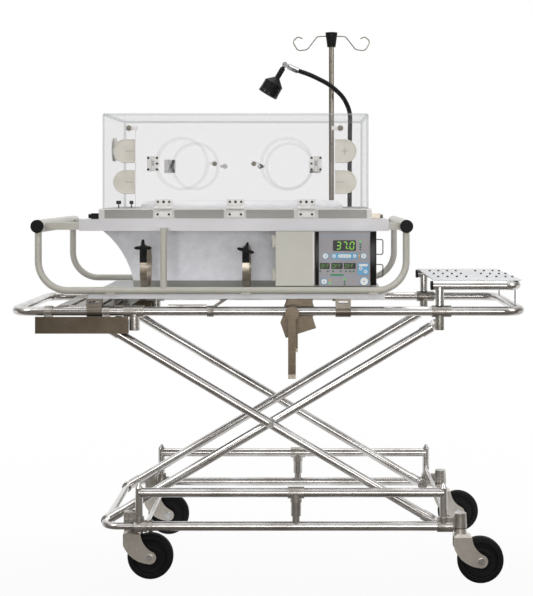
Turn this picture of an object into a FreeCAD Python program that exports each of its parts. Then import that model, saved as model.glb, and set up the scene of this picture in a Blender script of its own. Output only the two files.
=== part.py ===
import FreeCAD, Part
import math
import os

from FreeCAD import Vector

# Infant transport incubator on a folding ambulance stretcher. Millimetres, +Z up, -Y is the front.
# The origin is on the floor, under the middle of the stretcher.
# What is built for the front side is mirrored to the rear side with both_sides.

# fits between pieces
RUN_GAP = 0.3            # between a moving piece and what it turns or slides on
SEAT_GAP = 0.05          # between a tube and the fixed sleeve round it

# round shapes
ROUND_FROM = 6.9         # from this radius up a rod is truly round
SIDES = 12
WIRE_BELOW = 2.6
WIRE_SIDES = 6

# tubes
RAIL_R = 12.7
RAIL_WALL = 1.8
POST_R = 10.5
SLIDER_R = 9.5
CROSS_TUBE_R = 6.0
CROSS_ROD_R = 5.0
SLEEVE_WALL = 3.2

# base frame
BASE_Y = 262.0           # half spacing of the base rails
LOWER_Z = 154.3
UPPER_Z = 245.8
POST_LEFT_X = -350.7
POST_RIGHT_X = 480.3
MID_POST_X = 77.8
POST_TIP = 13.0
LEFT_SLEEVE_X = -363.0
LEFT_SLEEVE_LENGTH = 35.0
LEFT_RING_X = -324.0
LEFT_RING_LENGTH = 11.0
BUSH_LENGTH = 10.0
CROSS_TUBE_LEFT_X = -333.0
CROSS_ROD_RIGHT_Z = 200.0
CASTING_X = 463.0
CASTING_LENGTH = 43.0
MID_TEE_LENGTH = 45.0
MID_UPPER_R = 14.0
MID_UPPER_LENGTH = 50.0

# casters
WHEEL_R = 63.5
WHEEL_WIDTH = 32.0
TYRE_DEPTH = 17.0
TYRE_EDGE = 5.0
HUB_WIDTH = 25.0
AXLE_R = 6.0
AXLE_HEAD_R = 9.0
AXLE_HEAD = 3.5
TRAIL = 55.0
STEM_RIGHT_X = 526.0
STEM_LEFT_X = -379.0
STEM_LEFT_Y = 226.0
FORK_GAP = 38.4          # clear width between the fork's cheeks
CHEEK = 4.0
CROWN_Z = 128.0
CROWN_RISE = 8.0
CROWN_BACK = 18.0
CROWN_FRONT = 30.0
NOSE_R = 18.0
NOSE_TOP_OUT = 11.0
NOSE_LOW_OUT = -6.0
CHEEK_BULGE = 11.0
CHEEK_BULGE_Z = 98.0
BELLY_OUT = 10.0
BELLY_Z = 61.5
CHEEK_LOW_Z = 98.0
NECK_R = 16.5
NECK_FLARE = 1.5
NECK_RIGHT = 15.0
NECK_LEFT = 1.0
NECK_TOP_RIGHT = CROWN_Z + CROWN_RISE + NECK_RIGHT
NECK_TOP_LEFT = CROWN_Z + CROWN_RISE + NECK_LEFT
NECK_AIR = 1.0           # between the neck and the casting over it
STEM_R = 7.0
STEM_HEIGHT = 26.0
BARREL_R = 18.5
BARREL_TAPER = 2.0
BARREL_TOP_RIGHT = 191.0
BLOCK_TOP_LEFT = 186.0
BLOCK_HALF_X = 17.5
BLOCK_HALF_Y = 14.5

# crossed legs
PIVOT_X = 466.0          # the fixed pivots on the right
SLIDE_X = -449.0         # the sliding ends on the left
TOP_PIVOT_Z = 698.0
OUTER_Y = 228.0
INNER_Y = 195.0
LEG_SLEEVE_R = 15.0
LEG_SLEEVE_LENGTH = 46.0
HUB_R = 15.0
HUB_HALF = 11.0
HUB_BITE = 0.9           # how far out from the pivot the leg starts, in hub radii
PIVOT_PIN_R = 7.0
PIVOT_BOSS_R = 13.0
TOP_BOSS_R = 10.0
PIN_END = 3.0            # how far a pivot pin stands out of its hub
HUB_AIR = 1.0            # between a hub and the boss beside it
CROSS_BOLT_R = 5.0
CROSS_BOLT_HEAD_R = 9.0
CROSS_BOLT_HEAD = 4.0
CROSS_WASHER_R = 13.0

# sliding tube of the base
SLIDER_CORNER = 40.0
SLIDER_ARM_END_X = -150.0

# stretcher top frame
DECK_Y = 243.0
DECK_Z = 739.0
DECK_HALF = 711.0
DECK_CORNER = 50.0
TEE_LEFT_X = -395.0
TEE_LEFT_LENGTH = 55.0
STUB_LEFT_X = -366.0
STUB_LEFT_R = 14.0
STUB_LEFT_Z = 687.0
TEE_RIGHT_X = 450.0
TEE_RIGHT_LENGTH = 53.0
STUB_RIGHT_X = 472.0
STUB_RIGHT_R = 12.0
STUB_RIGHT_Z = 688.0
RING_WALL = 2.5
RING_1 = (99.0 - DECK_HALF, 22.0)
RING_2 = (-452.0, 20.0)
RING_3 = (-166.0, 18.0)

# channels in which the rollers of the outer legs run
TRACK_X0 = 75.0 - DECK_HALF
TRACK_X1 = -381.0
TRACK_HALF = 19.0
TRACK_FACE_Y = 258.0
TRACK_OPEN_Y = 244.5
TRACK_WALL = 2.5
TRACK_LIP = 8.0
ROLLER_R = 15.8
ROLLER_WIDTH = 8.6
ROLLER_Y = 249.6
ROLLER_AXLE_R = 6.0
HANGER_Y0 = 244.6

# platform, bars and links between the rails
PLATFORM_X0 = 111.0 - DECK_HALF
PLATFORM_X1 = -397.0
PLATFORM_Y = 226.5
PLATFORM_Z = 741.0
PLATFORM_T = 3.0
PLATFORM_HOOK_OUT = 2.0
PLATFORM_SLOT_R = 7.0
PLATFORM_SLOTS = 4
TOP_BAR_X0 = -274.0
TOP_BAR_X1 = -168.0
TOP_BAR_T = 5.0
TOP_BAR_HALF_Y = 9.0
LINK_R = 4.0
LINK_LOW = 25.0          # from the third ring to the link's ends
LINK_HIGH = 52.0

# release gear
LEVER_X = 67.0
LEVER_Z = 737.0
LEVER_SHAFT_R = 7.0
LEVER_DISC_R = 19.0
LEVER_DISC_T = 6.0
LEVER_Y = 278.0
LEVER_T = 4.0
LEVER_HALF = 10.5
LEVER_LOW_Z = 559.0
LEVER_TOE = 12.0
TOE_OUT = 1.5
LATCH_PLATE_Y = 229.8
LATCH_PLATE_T = 3.0

# hold-down clamps between the rails and the adapter plate
CLAMP_XS = (-475.0, 207.0)
CLAMP_HALF = 21.0
CLAMP_BLOCK_Y = 13.0
CLAMP_SLOT_HALF = 13.0
CLAMP_SLOT_Z = 6.0

# shelf over the right end
SHELF_Z = 809.6
SHELF_END_X = DECK_HALF - 12.0
SHELF_CORNER = 32.0
SHELF_TUBE_X0 = 454.0
SHELF_PLUG = 7.0
SHELF_PLATE_X0 = 455.0
SHELF_PLATE_X1 = SHELF_END_X - 1.0
SHELF_PLATE_Y = 240.0
SHELF_PLATE_T = 3.0
SHELF_HOLE_R = 2.5
SHELF_HOLE_X0 = 480.0
SHELF_HOLE_PITCH = 26.5
SHELF_HOLE_GAP = 59.0
SHELF_HOLE_ROWS = (-125.0, 0.0, 130.0)
STAY_R = 2.0
STAY_X = SHELF_END_X - 5.0
STAY_Y = 150.0

# adapter plate and tray under the incubator
PLATE_X0 = -492.0
PLATE_X1 = 321.0
PLATE_Y = 250.0
PLATE_Z = 774.0
PLATE_T = 13.0
SHEET = 3.0
TRAY_X0 = -389.0
TRAY_X1 = 306.0
HOUSING_FRONT_Y = -100.0
HOUSING_BACK_Y = 150.0
HOUSING_Z = 813.0
HOUSING_SWELL = 92.0
SWELL_IN = 0.43          # shares of the swell at its belly
SWELL_UP = 0.2
HOUSING_WALL = 5.0

# beige tube cage with its cross handles
CAGE_Y = 253.0
CAGE_R = 9.5
CAGE_LOW_Z = 797.0
CAGE_LEFT_X = -628.0
CAGE_RIGHT_X = 379.4
CAGE_CORNER = 80.0
HANDLE_R = 18.0
HANDLE_Z = 972.7
HANDLE_OVERHANG = 13.0
HANDLE_HALF = CAGE_Y + HANDLE_OVERHANG
HANDLE_CAP = 4.0
CAGE_POST_X = -285.0
CAGE_FOOT_HALF = 12.0
CAGE_FOOT_Y = 7.5
CAGE_TAB_T = 10.0
CAGE_FEET = (-430.0, -60.0, 290.0)
ARM_Y0 = 190.0
ARM_Y1 = 228.0
ARM_Z0 = 962.0
ARM_Z1 = 982.0

# white upper deck
UPPER_X0 = -521.0
UPPER_X1 = 333.0
UPPER_Y = 230.0
UPPER_Z0 = 959.0
UPPER_Z1 = 991.0
UPPER_WALL = 3.0

# battery bay and controller
BAY_X0 = 21.0
BAY_X1 = 130.0
CASE_X1 = 298.5
CASE_Z0 = 809.0
CASE_Z1 = 958.5
CASE_FRONT_Y = -240.0
CASE_WALL = 4.0
CASE_FOOT_INSET = 12.0
DOOR_T = 4.5
DOOR_AIR = 1.0
DOOR_PIN_R = 2.5
KNUCKLE_R = 5.0
KNUCKLE_LENGTH = 16.0
KNUCKLE_Z = (839.0, 931.0)
BATTERY_GAP = 8.0
BEZEL_T = 6.0
BEZEL_SIDE = 12.0
POCKET = 2.0
BAIL_R = 1.6
BAIL_DEPTH = 19.0
BAIL_X = CASE_X1
BAIL_Z = ((894.0, 935.0), (832.0, 866.0))
BAIL_Y = -220.0

# strap clamps for gas cylinders
STRAP_XS = (-342.0, -60.6)
STRAP_Y = -185.0
STRAP_Z = 858.0
STRAP_R = 56.0
STRAP_T = 2.5
STRAP_WIDTH = 19.5
STRAP_FOOT_HALF = 17.0
STRAP_EAR_TOP = 66.0
STRAP_BACK_EAR = 40.0
KNOB_ZS = (913.0, 906.0)
KNOB_R = 24.0
KNOB_CORE_R = 11.0
KNOB_LOBE_R = 5.0
KNOB_SPOKE = 4.0
KNOB_T = 12.0
KNOB_TURN = (0.0, -15.0)
KNOB_LOBES = 4
SCREW_R = 4.0

# hood
HOOD_X0 = -461.0
HOOD_X1 = 279.0
HOOD_Y = 206.0
HOOD_Z0 = 1020.0
HOOD_Z1 = 1285.5
HOOD_WALL = 6.0
HOOD_EDGE = 8.0
STRIP_OUT = 8.0
STRIP_WALL = 16.0
FRONT_X0 = -369.0
FRONT_X1 = 184.0
FRONT_Z0 = 1026.0
FRONT_Z1 = 1236.5
FRONT_GAP = 1.0
GROMMET_WIDTH = 61.0
GROMMET_HALF = 33.0
GROMMET_T = 9.0
GROMMET_Z = (1180.0, 1094.0)
PORT_X = (-239.2, 51.6)
PORT_Z = 1145.0
PORT_R = 75.0
PORT_HOLE_R = 66.0
PORT_DOOR_T = 4.0
PORT_STRAP_IN = 14.0
PORT_AIR = 1.2
PORT_HINGE_OFFSET = 80.0
PORT_HINGE_R = 4.0
PORT_HINGE_OUT = 2.8
PORT_PIN_R = 1.8
PORT_HINGE_HALF = 21.0
PORT_KNUCKLE = 13.0
PORT_LEAF = 17.0
PORT_LEAF_T = 3.0
PORT_LATCH_OFFSET = 91.0
PORT_LATCH_R = 8.0
PORT_LATCH_T = 7.0
PORT_LATCH_TAB = 14.5
PORT_TAB_HALF = 4.0
PORT_TAB_IN = 3.0
PORT_LATCH_STEM_R = 2.5
END_PORT_Z = 1190.0
END_PORT_HALF_Z = 34.0
END_PORT_HALF_Y = 24.0
END_PORT_T = 8.0

# door hinges and latches of the hood
HINGE_XS = (-290.0, -90.5, 106.0)
HINGE_HALF = 25.0
HINGE_KNUCKLE = 11.0
HINGE_R = 5.0
HINGE_PIN_R = 2.2
HINGE_Z = 1022.0
HINGE_Y = -219.5
LEAF_T = 3.0
LEAF_HEIGHT = 21.0
LATCH_XS = (-385.7, 200.0)
LATCH_Z = 1243.5
LATCH_KNOB_R = 9.0
LATCH_KNOB_T = 9.0
LATCH_TAB = 24.0
LATCH_TAB_HALF = 5.5
LATCH_TAB_T = 3.0
LATCH_STEM_R = 3.0
STEM_END = 3.0           # how far a latch stem stands in

# inside the hood
BED_X0 = -380.0
BED_X1 = 225.0
BED_Y = 168.0
BED_T = 4.0
BED_RIM = 16.0
MATTRESS_IN = 9.0
MATTRESS_TOP = 1038.0
MATTRESS_EDGE = 10.0

# pole, lamp and small fittings at the back
POLE_X = 183.0
POLE_Y = 243.0
POLE_R = 8.0
POLE_LOW = 966.0
SOCKET_X0 = 163.0
SOCKET_X1 = 262.0
SOCKET_Z0 = 962.0
SOCKET_Z1 = 1008.0
SOCKET_DEPTH = 28.0
HEAD_TOP = 1564.0
HEAD_HEIGHT = 45.0
HEAD_LOW = HEAD_TOP - HEAD_HEIGHT
HEAD_TOP_R = 19.0
HEAD_LOW_R = 13.0
HOOK_WIRE_R = 2.0
HOOK_Z = HEAD_TOP - 11.0
HOOK_REACH = 122.0
HOOK_DROP = 46.0
HOOK_BENDS = (14.0, 16.0, 14.0, 12.0, 7.0)
# along the hook: shares of its reach and of its drop
HOOK_ROUTE = ((0.12, 0.0), (0.36, 0.02), (0.62, 0.91), (0.86, 1.0), (1.0, 0.35), (0.86, 0.04), (0.74, 0.17))
LAMP_ARM_R = 7.0
LAMP_BEND = 0.45         # bend radius as a share of the shorter run
LAMP_ROUTE = (
    (240.0, 243.0, 1008.0),
    (240.0, 243.0, 1200.0),
    (242.0, 241.0, 1316.0),
    (221.0, 222.0, 1360.0),
    (178.0, 190.0, 1397.0),
    (116.0, 160.0, 1425.0),
    (78.0, 140.0, 1436.0),
)
LAMP_PIVOT = (40.0, 125.0, 1452.0)
LAMP_FERRULE_R = 9.0
LAMP_BALL_R = 8.0
LAMP_PIN_R = 2.5
CLEVIS_IN = 5.5
CLEVIS_OUT = 8.5
CLEVIS_HALF = 4.0
LUG_HALF = 5.0
LUG_R = 7.0
LUG_NECK_R = 5.0
LAMP_AXIS = (-0.507, 0.0, -0.862)
LAMP_NECK_R = 8.0
LAMP_NECK = 46.0
LAMP_HEAD_R = 30.0
LAMP_HEAD = 59.0
LAMP_RIBS = 5
LAMP_CONE = 0.35         # shares of the head's length
RIB_START = 0.4
RIB_SPAN = 0.5
RIB_DEPTH = 2.0
LAMP_WALL = 3.0
LAMP_BORE = 22.0
LOCK_LENGTH = 24.0
LOCK_HALF = 8.0
LOCK_Y = -190.0
LOCK_KNOB_R = 6.0

UP = Vector(0, 0, 1)
RIGHT = Vector(1, 0, 0)
BACK = Vector(0, 1, 0)


def block(x0, x1, y0, y1, z0, z1):
    return Part.makeBox(x1 - x0, y1 - y0, z1 - z0, Vector(x0, y0, z0))


def rod(start, end, radius, normal=None):
    # thin pins and wires have flat sides and stay within their radius
    if radius >= ROUND_FROM:
        return Part.makeCylinder(radius, (end - start).Length, start, end - start)
    return many_sided(start, end - start, radius, normal).extrude(end - start)


def bore(start, end, radius):
    # the hole for a rod: its flat sides stay outside its radius
    if radius >= ROUND_FROM:
        return rod(start, end, radius)
    return rod(start, end, radius / math.cos(math.pi / SIDES))


def many_sided(centre, along, radius, normal):
    sides = SIDES if radius > WIRE_BELOW else WIRE_SIDES
    u = normal or along.cross(UP if abs(along.x) + abs(along.y) > abs(along.z) / 9 else RIGHT)
    u = Vector(u).normalize()
    v = Vector(along).normalize().cross(u)
    angles = [2 * math.pi * i / sides for i in range(sides + 1)]
    points = [centre + u * (radius * math.cos(a)) + v * (radius * math.sin(a)) for a in angles]
    points[-1] = points[0]
    return Part.Face(Part.makePolygon(points))


def pin(start, end, radius):
    # a hinge pin is round at any size
    return Part.makeCylinder(radius, (end - start).Length, start, end - start)


def sleeve(start, end, inner, wall):
    return rod(start, end, inner + wall).cut(bore(start, end, inner))


def fuse(shapes):
    whole = shapes[0]
    for shape in shapes[1:]:
        whole = whole.fuse(shape)
    return whole.removeSplitter()


def rear(shape):
    return shape.mirror(Vector(0, 0, 0), BACK)


def both_sides(shapes):
    return shapes + [rear(shape) for shape in shapes]


def bent_rod(points, radii, radius):
    # straight runs joined by tangent bends, one bend radius for each inner point
    pieces = []
    start = points[0]
    for i, bend in enumerate(radii):
        corner = points[i + 1]
        inward = (points[i] - corner).normalize()
        outward = (points[i + 2] - corner).normalize()
        half = inward.getAngle(outward) / 2
        reach = bend / math.tan(half)
        first = corner + inward * reach
        centre = corner + (inward + outward).normalize() * (bend / math.sin(half))
        axis = inward.cross(outward) * -1
        if (first - start).Length > SEAT_GAP:
            pieces.append(rod(start, first, radius, axis))
        pieces.append(bend_piece(first, inward, centre, axis, math.pi - half * 2, radius))
        start = corner + outward * reach
    if (points[-1] - start).Length > SEAT_GAP:
        pieces.append(rod(start, points[-1], radius, axis))
    return fuse(pieces)


def bend_piece(first, way, centre, axis, angle, radius):
    if radius >= ROUND_FROM:
        disc = Part.Face(Part.Wire([Part.makeCircle(radius, first, way)]))
    else:
        disc = many_sided(first, way, radius, axis)
    return disc.revolve(centre, axis, math.degrees(angle))


def polygon_y(outline, y0, y1):
    points = [Vector(x, y0, z) for x, z in outline]
    return Part.Face(Part.makePolygon(points + points[:1])).extrude(Vector(0, y1 - y0, 0))


def turned(shape, centre, axis, angle):
    copy = shape.copy()
    copy.rotate(centre, axis, angle)
    return copy


# base frame

def base_posts():
    y = -BASE_Y
    posts = []
    for x in (POST_LEFT_X, POST_RIGHT_X):
        top = Vector(x, y, UPPER_Z + RAIL_R)
        posts.append(rod(Vector(x, y, LOWER_Z + RAIL_R / 2), top, POST_R))
        posts.append(Part.makeCone(POST_R, POST_R / 4, POST_TIP, top, UP))
    high = Vector(MID_POST_X, y, UPPER_Z)
    step = Vector(MID_POST_X, y, UPPER_Z - RAIL_R - MID_UPPER_LENGTH)
    posts.append(rod(Vector(MID_POST_X, y, LOWER_Z + RAIL_R / 2), step, POST_R))
    posts.append(rod(step, high, MID_UPPER_R - SEAT_GAP))
    return posts


def base_frame():
    y = -BASE_Y
    low_end = Vector(LEFT_SLEEVE_X + BUSH_LENGTH, y, LOWER_Z)
    low = rod(low_end, Vector(CASTING_X + CASTING_LENGTH, y, LOWER_Z), RAIL_R)
    high = rod(Vector(POST_LEFT_X, y, UPPER_Z), Vector(POST_RIGHT_X, y, UPPER_Z), RAIL_R)
    side = fuse([low, high] + base_posts())
    # the sliding tube runs inside the lower rail
    bore_start = low_end - RIGHT * POST_R * 2
    side = side.cut(rod(bore_start, Vector(SLIDER_ARM_END_X + SLIDER_CORNER, y, LOWER_Z), RAIL_R - RAIL_WALL))
    return both_sides([side]) + base_cross_tubes()


def left_sleeve():
    y = -BASE_Y
    start = Vector(LEFT_SLEEVE_X, y, LOWER_Z)
    outer = rod(start, start + RIGHT * LEFT_SLEEVE_LENGTH, RAIL_R + SLEEVE_WALL)
    cup_low = Vector(POST_LEFT_X, y, LOWER_Z)
    cup = rod(cup_low, cup_low + UP * RAIL_R * 2, POST_R + SLEEVE_WALL)
    stem_x = STEM_LEFT_X
    housing = block(stem_x - BLOCK_HALF_X, stem_x + BLOCK_HALF_X, -STEM_LEFT_Y - BLOCK_HALF_Y,
                    -STEM_LEFT_Y + BLOCK_HALF_Y, NECK_TOP_LEFT + NECK_AIR, BLOCK_TOP_LEFT)
    edges = [e for e in housing.Edges if abs(e.Vertexes[0].Z - e.Vertexes[-1].Z) > BLOCK_HALF_X]
    housing = housing.makeChamfer(CHEEK, edges)
    web = block(stem_x, POST_LEFT_X + POST_R, y, -STEM_LEFT_Y, LOWER_Z - POST_R, LOWER_Z + POST_R)
    whole = fuse([outer, cup, housing, web])
    bush_end = start + RIGHT * BUSH_LENGTH
    whole = whole.cut(rod(start, bush_end, SLIDER_R + RUN_GAP))
    whole = whole.cut(rod(start - RIGHT * BLOCK_HALF_X * 3, start, SLIDER_R + RUN_GAP * 2))
    whole = whole.cut(rod(bush_end, start + RIGHT * LEFT_SLEEVE_LENGTH, RAIL_R + SEAT_GAP))
    socket = rod(Vector(POST_LEFT_X, y, LOWER_Z), Vector(POST_LEFT_X, y, UPPER_Z), POST_R + SEAT_GAP)
    whole = whole.cut(socket)
    stem_top = Vector(stem_x, -STEM_LEFT_Y, NECK_TOP_LEFT + STEM_HEIGHT + NECK_AIR)
    return whole.cut(rod(Vector(stem_x, -STEM_LEFT_Y, 0), stem_top, STEM_R + RUN_GAP))


def left_ring():
    start = Vector(LEFT_RING_X, -BASE_Y, LOWER_Z)
    return sleeve(start, start + RIGHT * LEFT_RING_LENGTH, RAIL_R + SEAT_GAP, SLEEVE_WALL)


def right_casting():
    y = -BASE_Y
    start = Vector(CASTING_X, y, LOWER_Z)
    end = start + RIGHT * CASTING_LENGTH
    whole = rod(start, end, RAIL_R + SLEEVE_WALL)
    cup_low = Vector(POST_RIGHT_X, y, LOWER_Z)
    cup = rod(cup_low, cup_low + UP * RAIL_R * 2, POST_R + SLEEVE_WALL)
    neck_top = NECK_TOP_RIGHT + NECK_AIR
    stem_low = Vector(STEM_RIGHT_X, y, neck_top)
    barrel = Part.makeCone(BARREL_R, BARREL_R - BARREL_TAPER, BARREL_TOP_RIGHT - neck_top, stem_low, UP)
    arm = block(POST_RIGHT_X, STEM_RIGHT_X, y - POST_R, y + POST_R, neck_top, BARREL_TOP_RIGHT - RAIL_R)
    boss_start = Vector(PIVOT_X, y + RAIL_R, LOWER_Z)
    boss = rod(boss_start, Vector(PIVOT_X, -OUTER_Y - HUB_HALF - HUB_AIR, LOWER_Z), PIVOT_BOSS_R)
    whole = fuse([whole, cup, barrel, arm, boss])
    whole = whole.cut(rod(start, end, RAIL_R + SEAT_GAP))
    whole = whole.cut(rod(cup_low, Vector(POST_RIGHT_X, y, UPPER_Z), POST_R + SEAT_GAP))
    whole = whole.cut(rod(stem_low, stem_low + UP * STEM_HEIGHT, STEM_R + RUN_GAP))
    pivot = rod(boss_start, Vector(PIVOT_X, -OUTER_Y + HUB_HALF + PIN_END, LOWER_Z), PIVOT_PIN_R)
    return whole.fuse(pivot)


def mid_tee():
    x0 = MID_POST_X - MID_TEE_LENGTH / 2
    start = Vector(x0, -BASE_Y, UPPER_Z)
    end = start + RIGHT * MID_TEE_LENGTH
    high = Vector(MID_POST_X, -BASE_Y, UPPER_Z)
    cup = rod(high, high - UP * RAIL_R * 2, MID_UPPER_R + SLEEVE_WALL / 2)
    post = rod(high, Vector(MID_POST_X, -BASE_Y, LOWER_Z), MID_UPPER_R + SEAT_GAP)
    whole = rod(start, end, RAIL_R + SLEEVE_WALL).fuse(cup)
    return whole.cut(rod(start, end, RAIL_R + SEAT_GAP)).cut(post)


def base_castings():
    return both_sides([left_sleeve(), left_ring(), right_casting(), mid_tee()])


def base_cross_tubes():
    reach = BASE_Y - RAIL_R - SLEEVE_WALL - SEAT_GAP
    end = Vector(CROSS_TUBE_LEFT_X, reach, LOWER_Z)
    left = rod(rear_point(end), end, CROSS_TUBE_R)
    reach = BASE_Y - POST_R - SEAT_GAP
    end = Vector(POST_RIGHT_X, reach, CROSS_ROD_RIGHT_Z)
    return [left, rod(rear_point(end), end, CROSS_ROD_R)]


# casters

def nose_point(axle_x, out, side):
    return Vector(axle_x + out, 0, WHEEL_R + side * math.sqrt(NOSE_R ** 2 - out ** 2))


def cheek(stem_x):
    # the side plate: straight at the back, bowed in front and round about the axle
    axle_x = stem_x + TRAIL
    back, front = stem_x - CROWN_BACK, stem_x + CROWN_FRONT
    back_top = Vector(back, 0, CROWN_Z)
    front_top = Vector(front, 0, CROWN_Z)
    back_low = Vector(back, 0, CHEEK_LOW_Z)
    nose_top = nose_point(axle_x, NOSE_TOP_OUT, 1)
    nose_low = nose_point(axle_x, NOSE_LOW_OUT, -1)
    edges = [
        Part.LineSegment(back_top, front_top).toShape(),
        Part.Arc(front_top, Vector(front + CHEEK_BULGE, 0, CHEEK_BULGE_Z), nose_top).toShape(),
        Part.Arc(nose_top, Vector(axle_x + NOSE_R, 0, WHEEL_R), nose_low).toShape(),
        Part.Arc(nose_low, Vector(stem_x + BELLY_OUT, 0, BELLY_Z), back_low).toShape(),
        Part.LineSegment(back_low, back_top).toShape(),
    ]
    return Part.Face(Part.Wire(edges)).extrude(BACK * CHEEK)


def fork(stem_x, y, neck_top):
    width = FORK_GAP / 2 + CHEEK
    near = cheek(stem_x).translated(Vector(0, y - width, 0))
    far = cheek(stem_x).translated(Vector(0, y + FORK_GAP / 2, 0))
    back, front = stem_x - CROWN_BACK, stem_x + CROWN_FRONT
    corners = [Vector(back, y - width, CROWN_Z), Vector(front, y - width, CROWN_Z),
               Vector(front, y + width, CROWN_Z), Vector(back, y + width, CROWN_Z)]
    foot = Part.Wire(Part.makePolygon(corners + corners[:1]).Edges)
    neck_low = Vector(stem_x, y, CROWN_Z + CROWN_RISE)
    collar = Part.Wire([Part.makeCircle(NECK_R + NECK_FLARE, neck_low, UP)])
    crown = Part.makeLoft([foot, collar], True)
    neck = Part.makeCone(NECK_R + NECK_FLARE, NECK_R, neck_top - neck_low.z, neck_low, UP)
    stem_low = Vector(stem_x, y, neck_top)
    stem = rod(stem_low, stem_low + UP * STEM_HEIGHT, STEM_R)
    middle = Vector(stem_x + TRAIL, y, WHEEL_R)
    half_axle = BACK * (width + AXLE_HEAD)
    axle = rod(middle - half_axle, middle + half_axle, AXLE_R)
    head = BACK * AXLE_HEAD
    heads = [rod(middle - half_axle, middle - half_axle + head, AXLE_HEAD_R),
             rod(middle + half_axle - head, middle + half_axle, AXLE_HEAD_R)]
    return [fuse([crown, neck, near, far, stem, axle] + heads)]


def wheel(stem_x, y):
    centre = Vector(stem_x + TRAIL, y, WHEEL_R)
    side = BACK * (WHEEL_WIDTH / 2)
    tyre = sleeve(centre - side, centre + side, WHEEL_R - TYRE_DEPTH, TYRE_DEPTH)
    rims = [e for e in tyre.Edges if e.Curve.TypeId == "Part::GeomCircle" and e.Curve.Radius > WHEEL_R - 1]
    tyre = tyre.makeChamfer(TYRE_EDGE, rims)
    half = BACK * (HUB_WIDTH / 2)
    inner = AXLE_R + RUN_GAP
    hub = sleeve(centre - half, centre + half, inner, WHEEL_R - TYRE_DEPTH - inner)
    return [tyre, hub]


CASTERS = {
    "front_left": (STEM_LEFT_X, -STEM_LEFT_Y, NECK_TOP_LEFT),
    "rear_left": (STEM_LEFT_X, STEM_LEFT_Y, NECK_TOP_LEFT),
    "front_right": (STEM_RIGHT_X, -BASE_Y, NECK_TOP_RIGHT),
    "rear_right": (STEM_RIGHT_X, BASE_Y, NECK_TOP_RIGHT),
}


# crossed legs

def leg(low, high, low_bore, high_bore):
    # a closed tube with a thicker sleeve and a cross hub at each end
    way = (high - low).normalize()
    inset = HUB_R * HUB_BITE
    side = Vector(0, HUB_HALF, 0)
    pieces = [rod(low + way * inset, high - way * inset, RAIL_R)]
    for point, inward in ((low, way), (high, way * -1)):
        pieces.append(rod(point + inward * inset, point + inward * LEG_SLEEVE_LENGTH, LEG_SLEEVE_R))
        pieces.append(rod(point - side, point + side, HUB_R))
    whole = fuse(pieces)
    for point, radius in ((low, low_bore), (high, high_bore)):
        whole = whole.cut(bore(point - side * 2, point + side * 2, radius))
    return whole


def leg_middle(y):
    return Vector((PIVOT_X + SLIDE_X) / 2, y, (LOWER_Z + TOP_PIVOT_Z) / 2)


def outer_legs():
    middle = leg_middle(-OUTER_Y)
    low = Vector(PIVOT_X, -OUTER_Y, LOWER_Z)
    high = Vector(SLIDE_X, -OUTER_Y, TOP_PIVOT_Z)
    whole = leg(low, high, PIVOT_PIN_R + RUN_GAP, ROLLER_AXLE_R + RUN_GAP)
    head_start = Vector(middle.x, -OUTER_Y - RAIL_R - CROSS_BOLT_HEAD, middle.z)
    inner_end = Vector(middle.x, -INNER_Y + RAIL_R + CROSS_BOLT_HEAD, middle.z)
    bolt = rod(head_start, inner_end, CROSS_BOLT_R)
    head = rod(head_start, head_start + BACK * (CROSS_BOLT_HEAD + 1), CROSS_BOLT_HEAD_R)
    washer = rod(Vector(middle.x, -OUTER_Y + RAIL_R - 1, middle.z),
                 Vector(middle.x, -INNER_Y - RAIL_R - RUN_GAP * 2, middle.z), CROSS_WASHER_R)
    return both_sides([fuse([whole, bolt, head, washer])])


def inner_legs():
    middle = leg_middle(-INNER_Y)
    low = Vector(SLIDE_X, -INNER_Y, LOWER_Z)
    high = Vector(PIVOT_X, -INNER_Y, TOP_PIVOT_Z)
    whole = leg(low, high, SLIDER_R + RUN_GAP, PIVOT_PIN_R + RUN_GAP)
    side = Vector(0, RAIL_R * 2, 0)
    whole = whole.cut(bore(middle - side, middle + side, CROSS_BOLT_R + RUN_GAP))
    return both_sides([whole])


def track_rollers():
    x, z = SLIDE_X, TOP_PIVOT_Z
    reach = ROLLER_Y + ROLLER_WIDTH / 2
    axle = rod(Vector(x, -reach, z), Vector(x, reach, z), ROLLER_AXLE_R)
    for side in (-1, 1):
        y = side * ROLLER_Y - ROLLER_WIDTH / 2
        axle = axle.fuse(rod(Vector(x, y, z), Vector(x, y + ROLLER_WIDTH, z), ROLLER_R))
    return [axle.removeSplitter()]


def sliding_base_tube():
    end = Vector(SLIDER_ARM_END_X, -BASE_Y, LOWER_Z)
    corner = Vector(SLIDE_X, -BASE_Y, LOWER_Z)
    points = [end, corner, rear_point(corner), rear_point(end)]
    return [bent_rod(points, [SLIDER_CORNER] * 2, SLIDER_R)]


def rear_point(point):
    return Vector(point.x, -point.y, point.z)


# stretcher top frame

def deck_holes():
    reach = LEVER_Y
    return rod(Vector(LEVER_X, -reach, LEVER_Z), Vector(LEVER_X, reach, LEVER_Z), LEVER_SHAFT_R + RUN_GAP)


def deck_frame():
    straight = DECK_HALF - RAIL_R - DECK_CORNER
    side = rod(Vector(-straight, -DECK_Y, DECK_Z), Vector(straight, -DECK_Y, DECK_Z), RAIL_R)
    pieces = both_sides([side.cut(deck_holes())])
    for sign in (-1, 1):
        outer = sign * (DECK_HALF - RAIL_R)
        start = Vector(sign * straight, -DECK_Y, DECK_Z)
        corner = Vector(outer, -DECK_Y, DECK_Z)
        points = [start, corner, rear_point(corner), rear_point(start)]
        pieces.append(bent_rod(points, [DECK_CORNER] * 2, RAIL_R))
    return pieces


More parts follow.
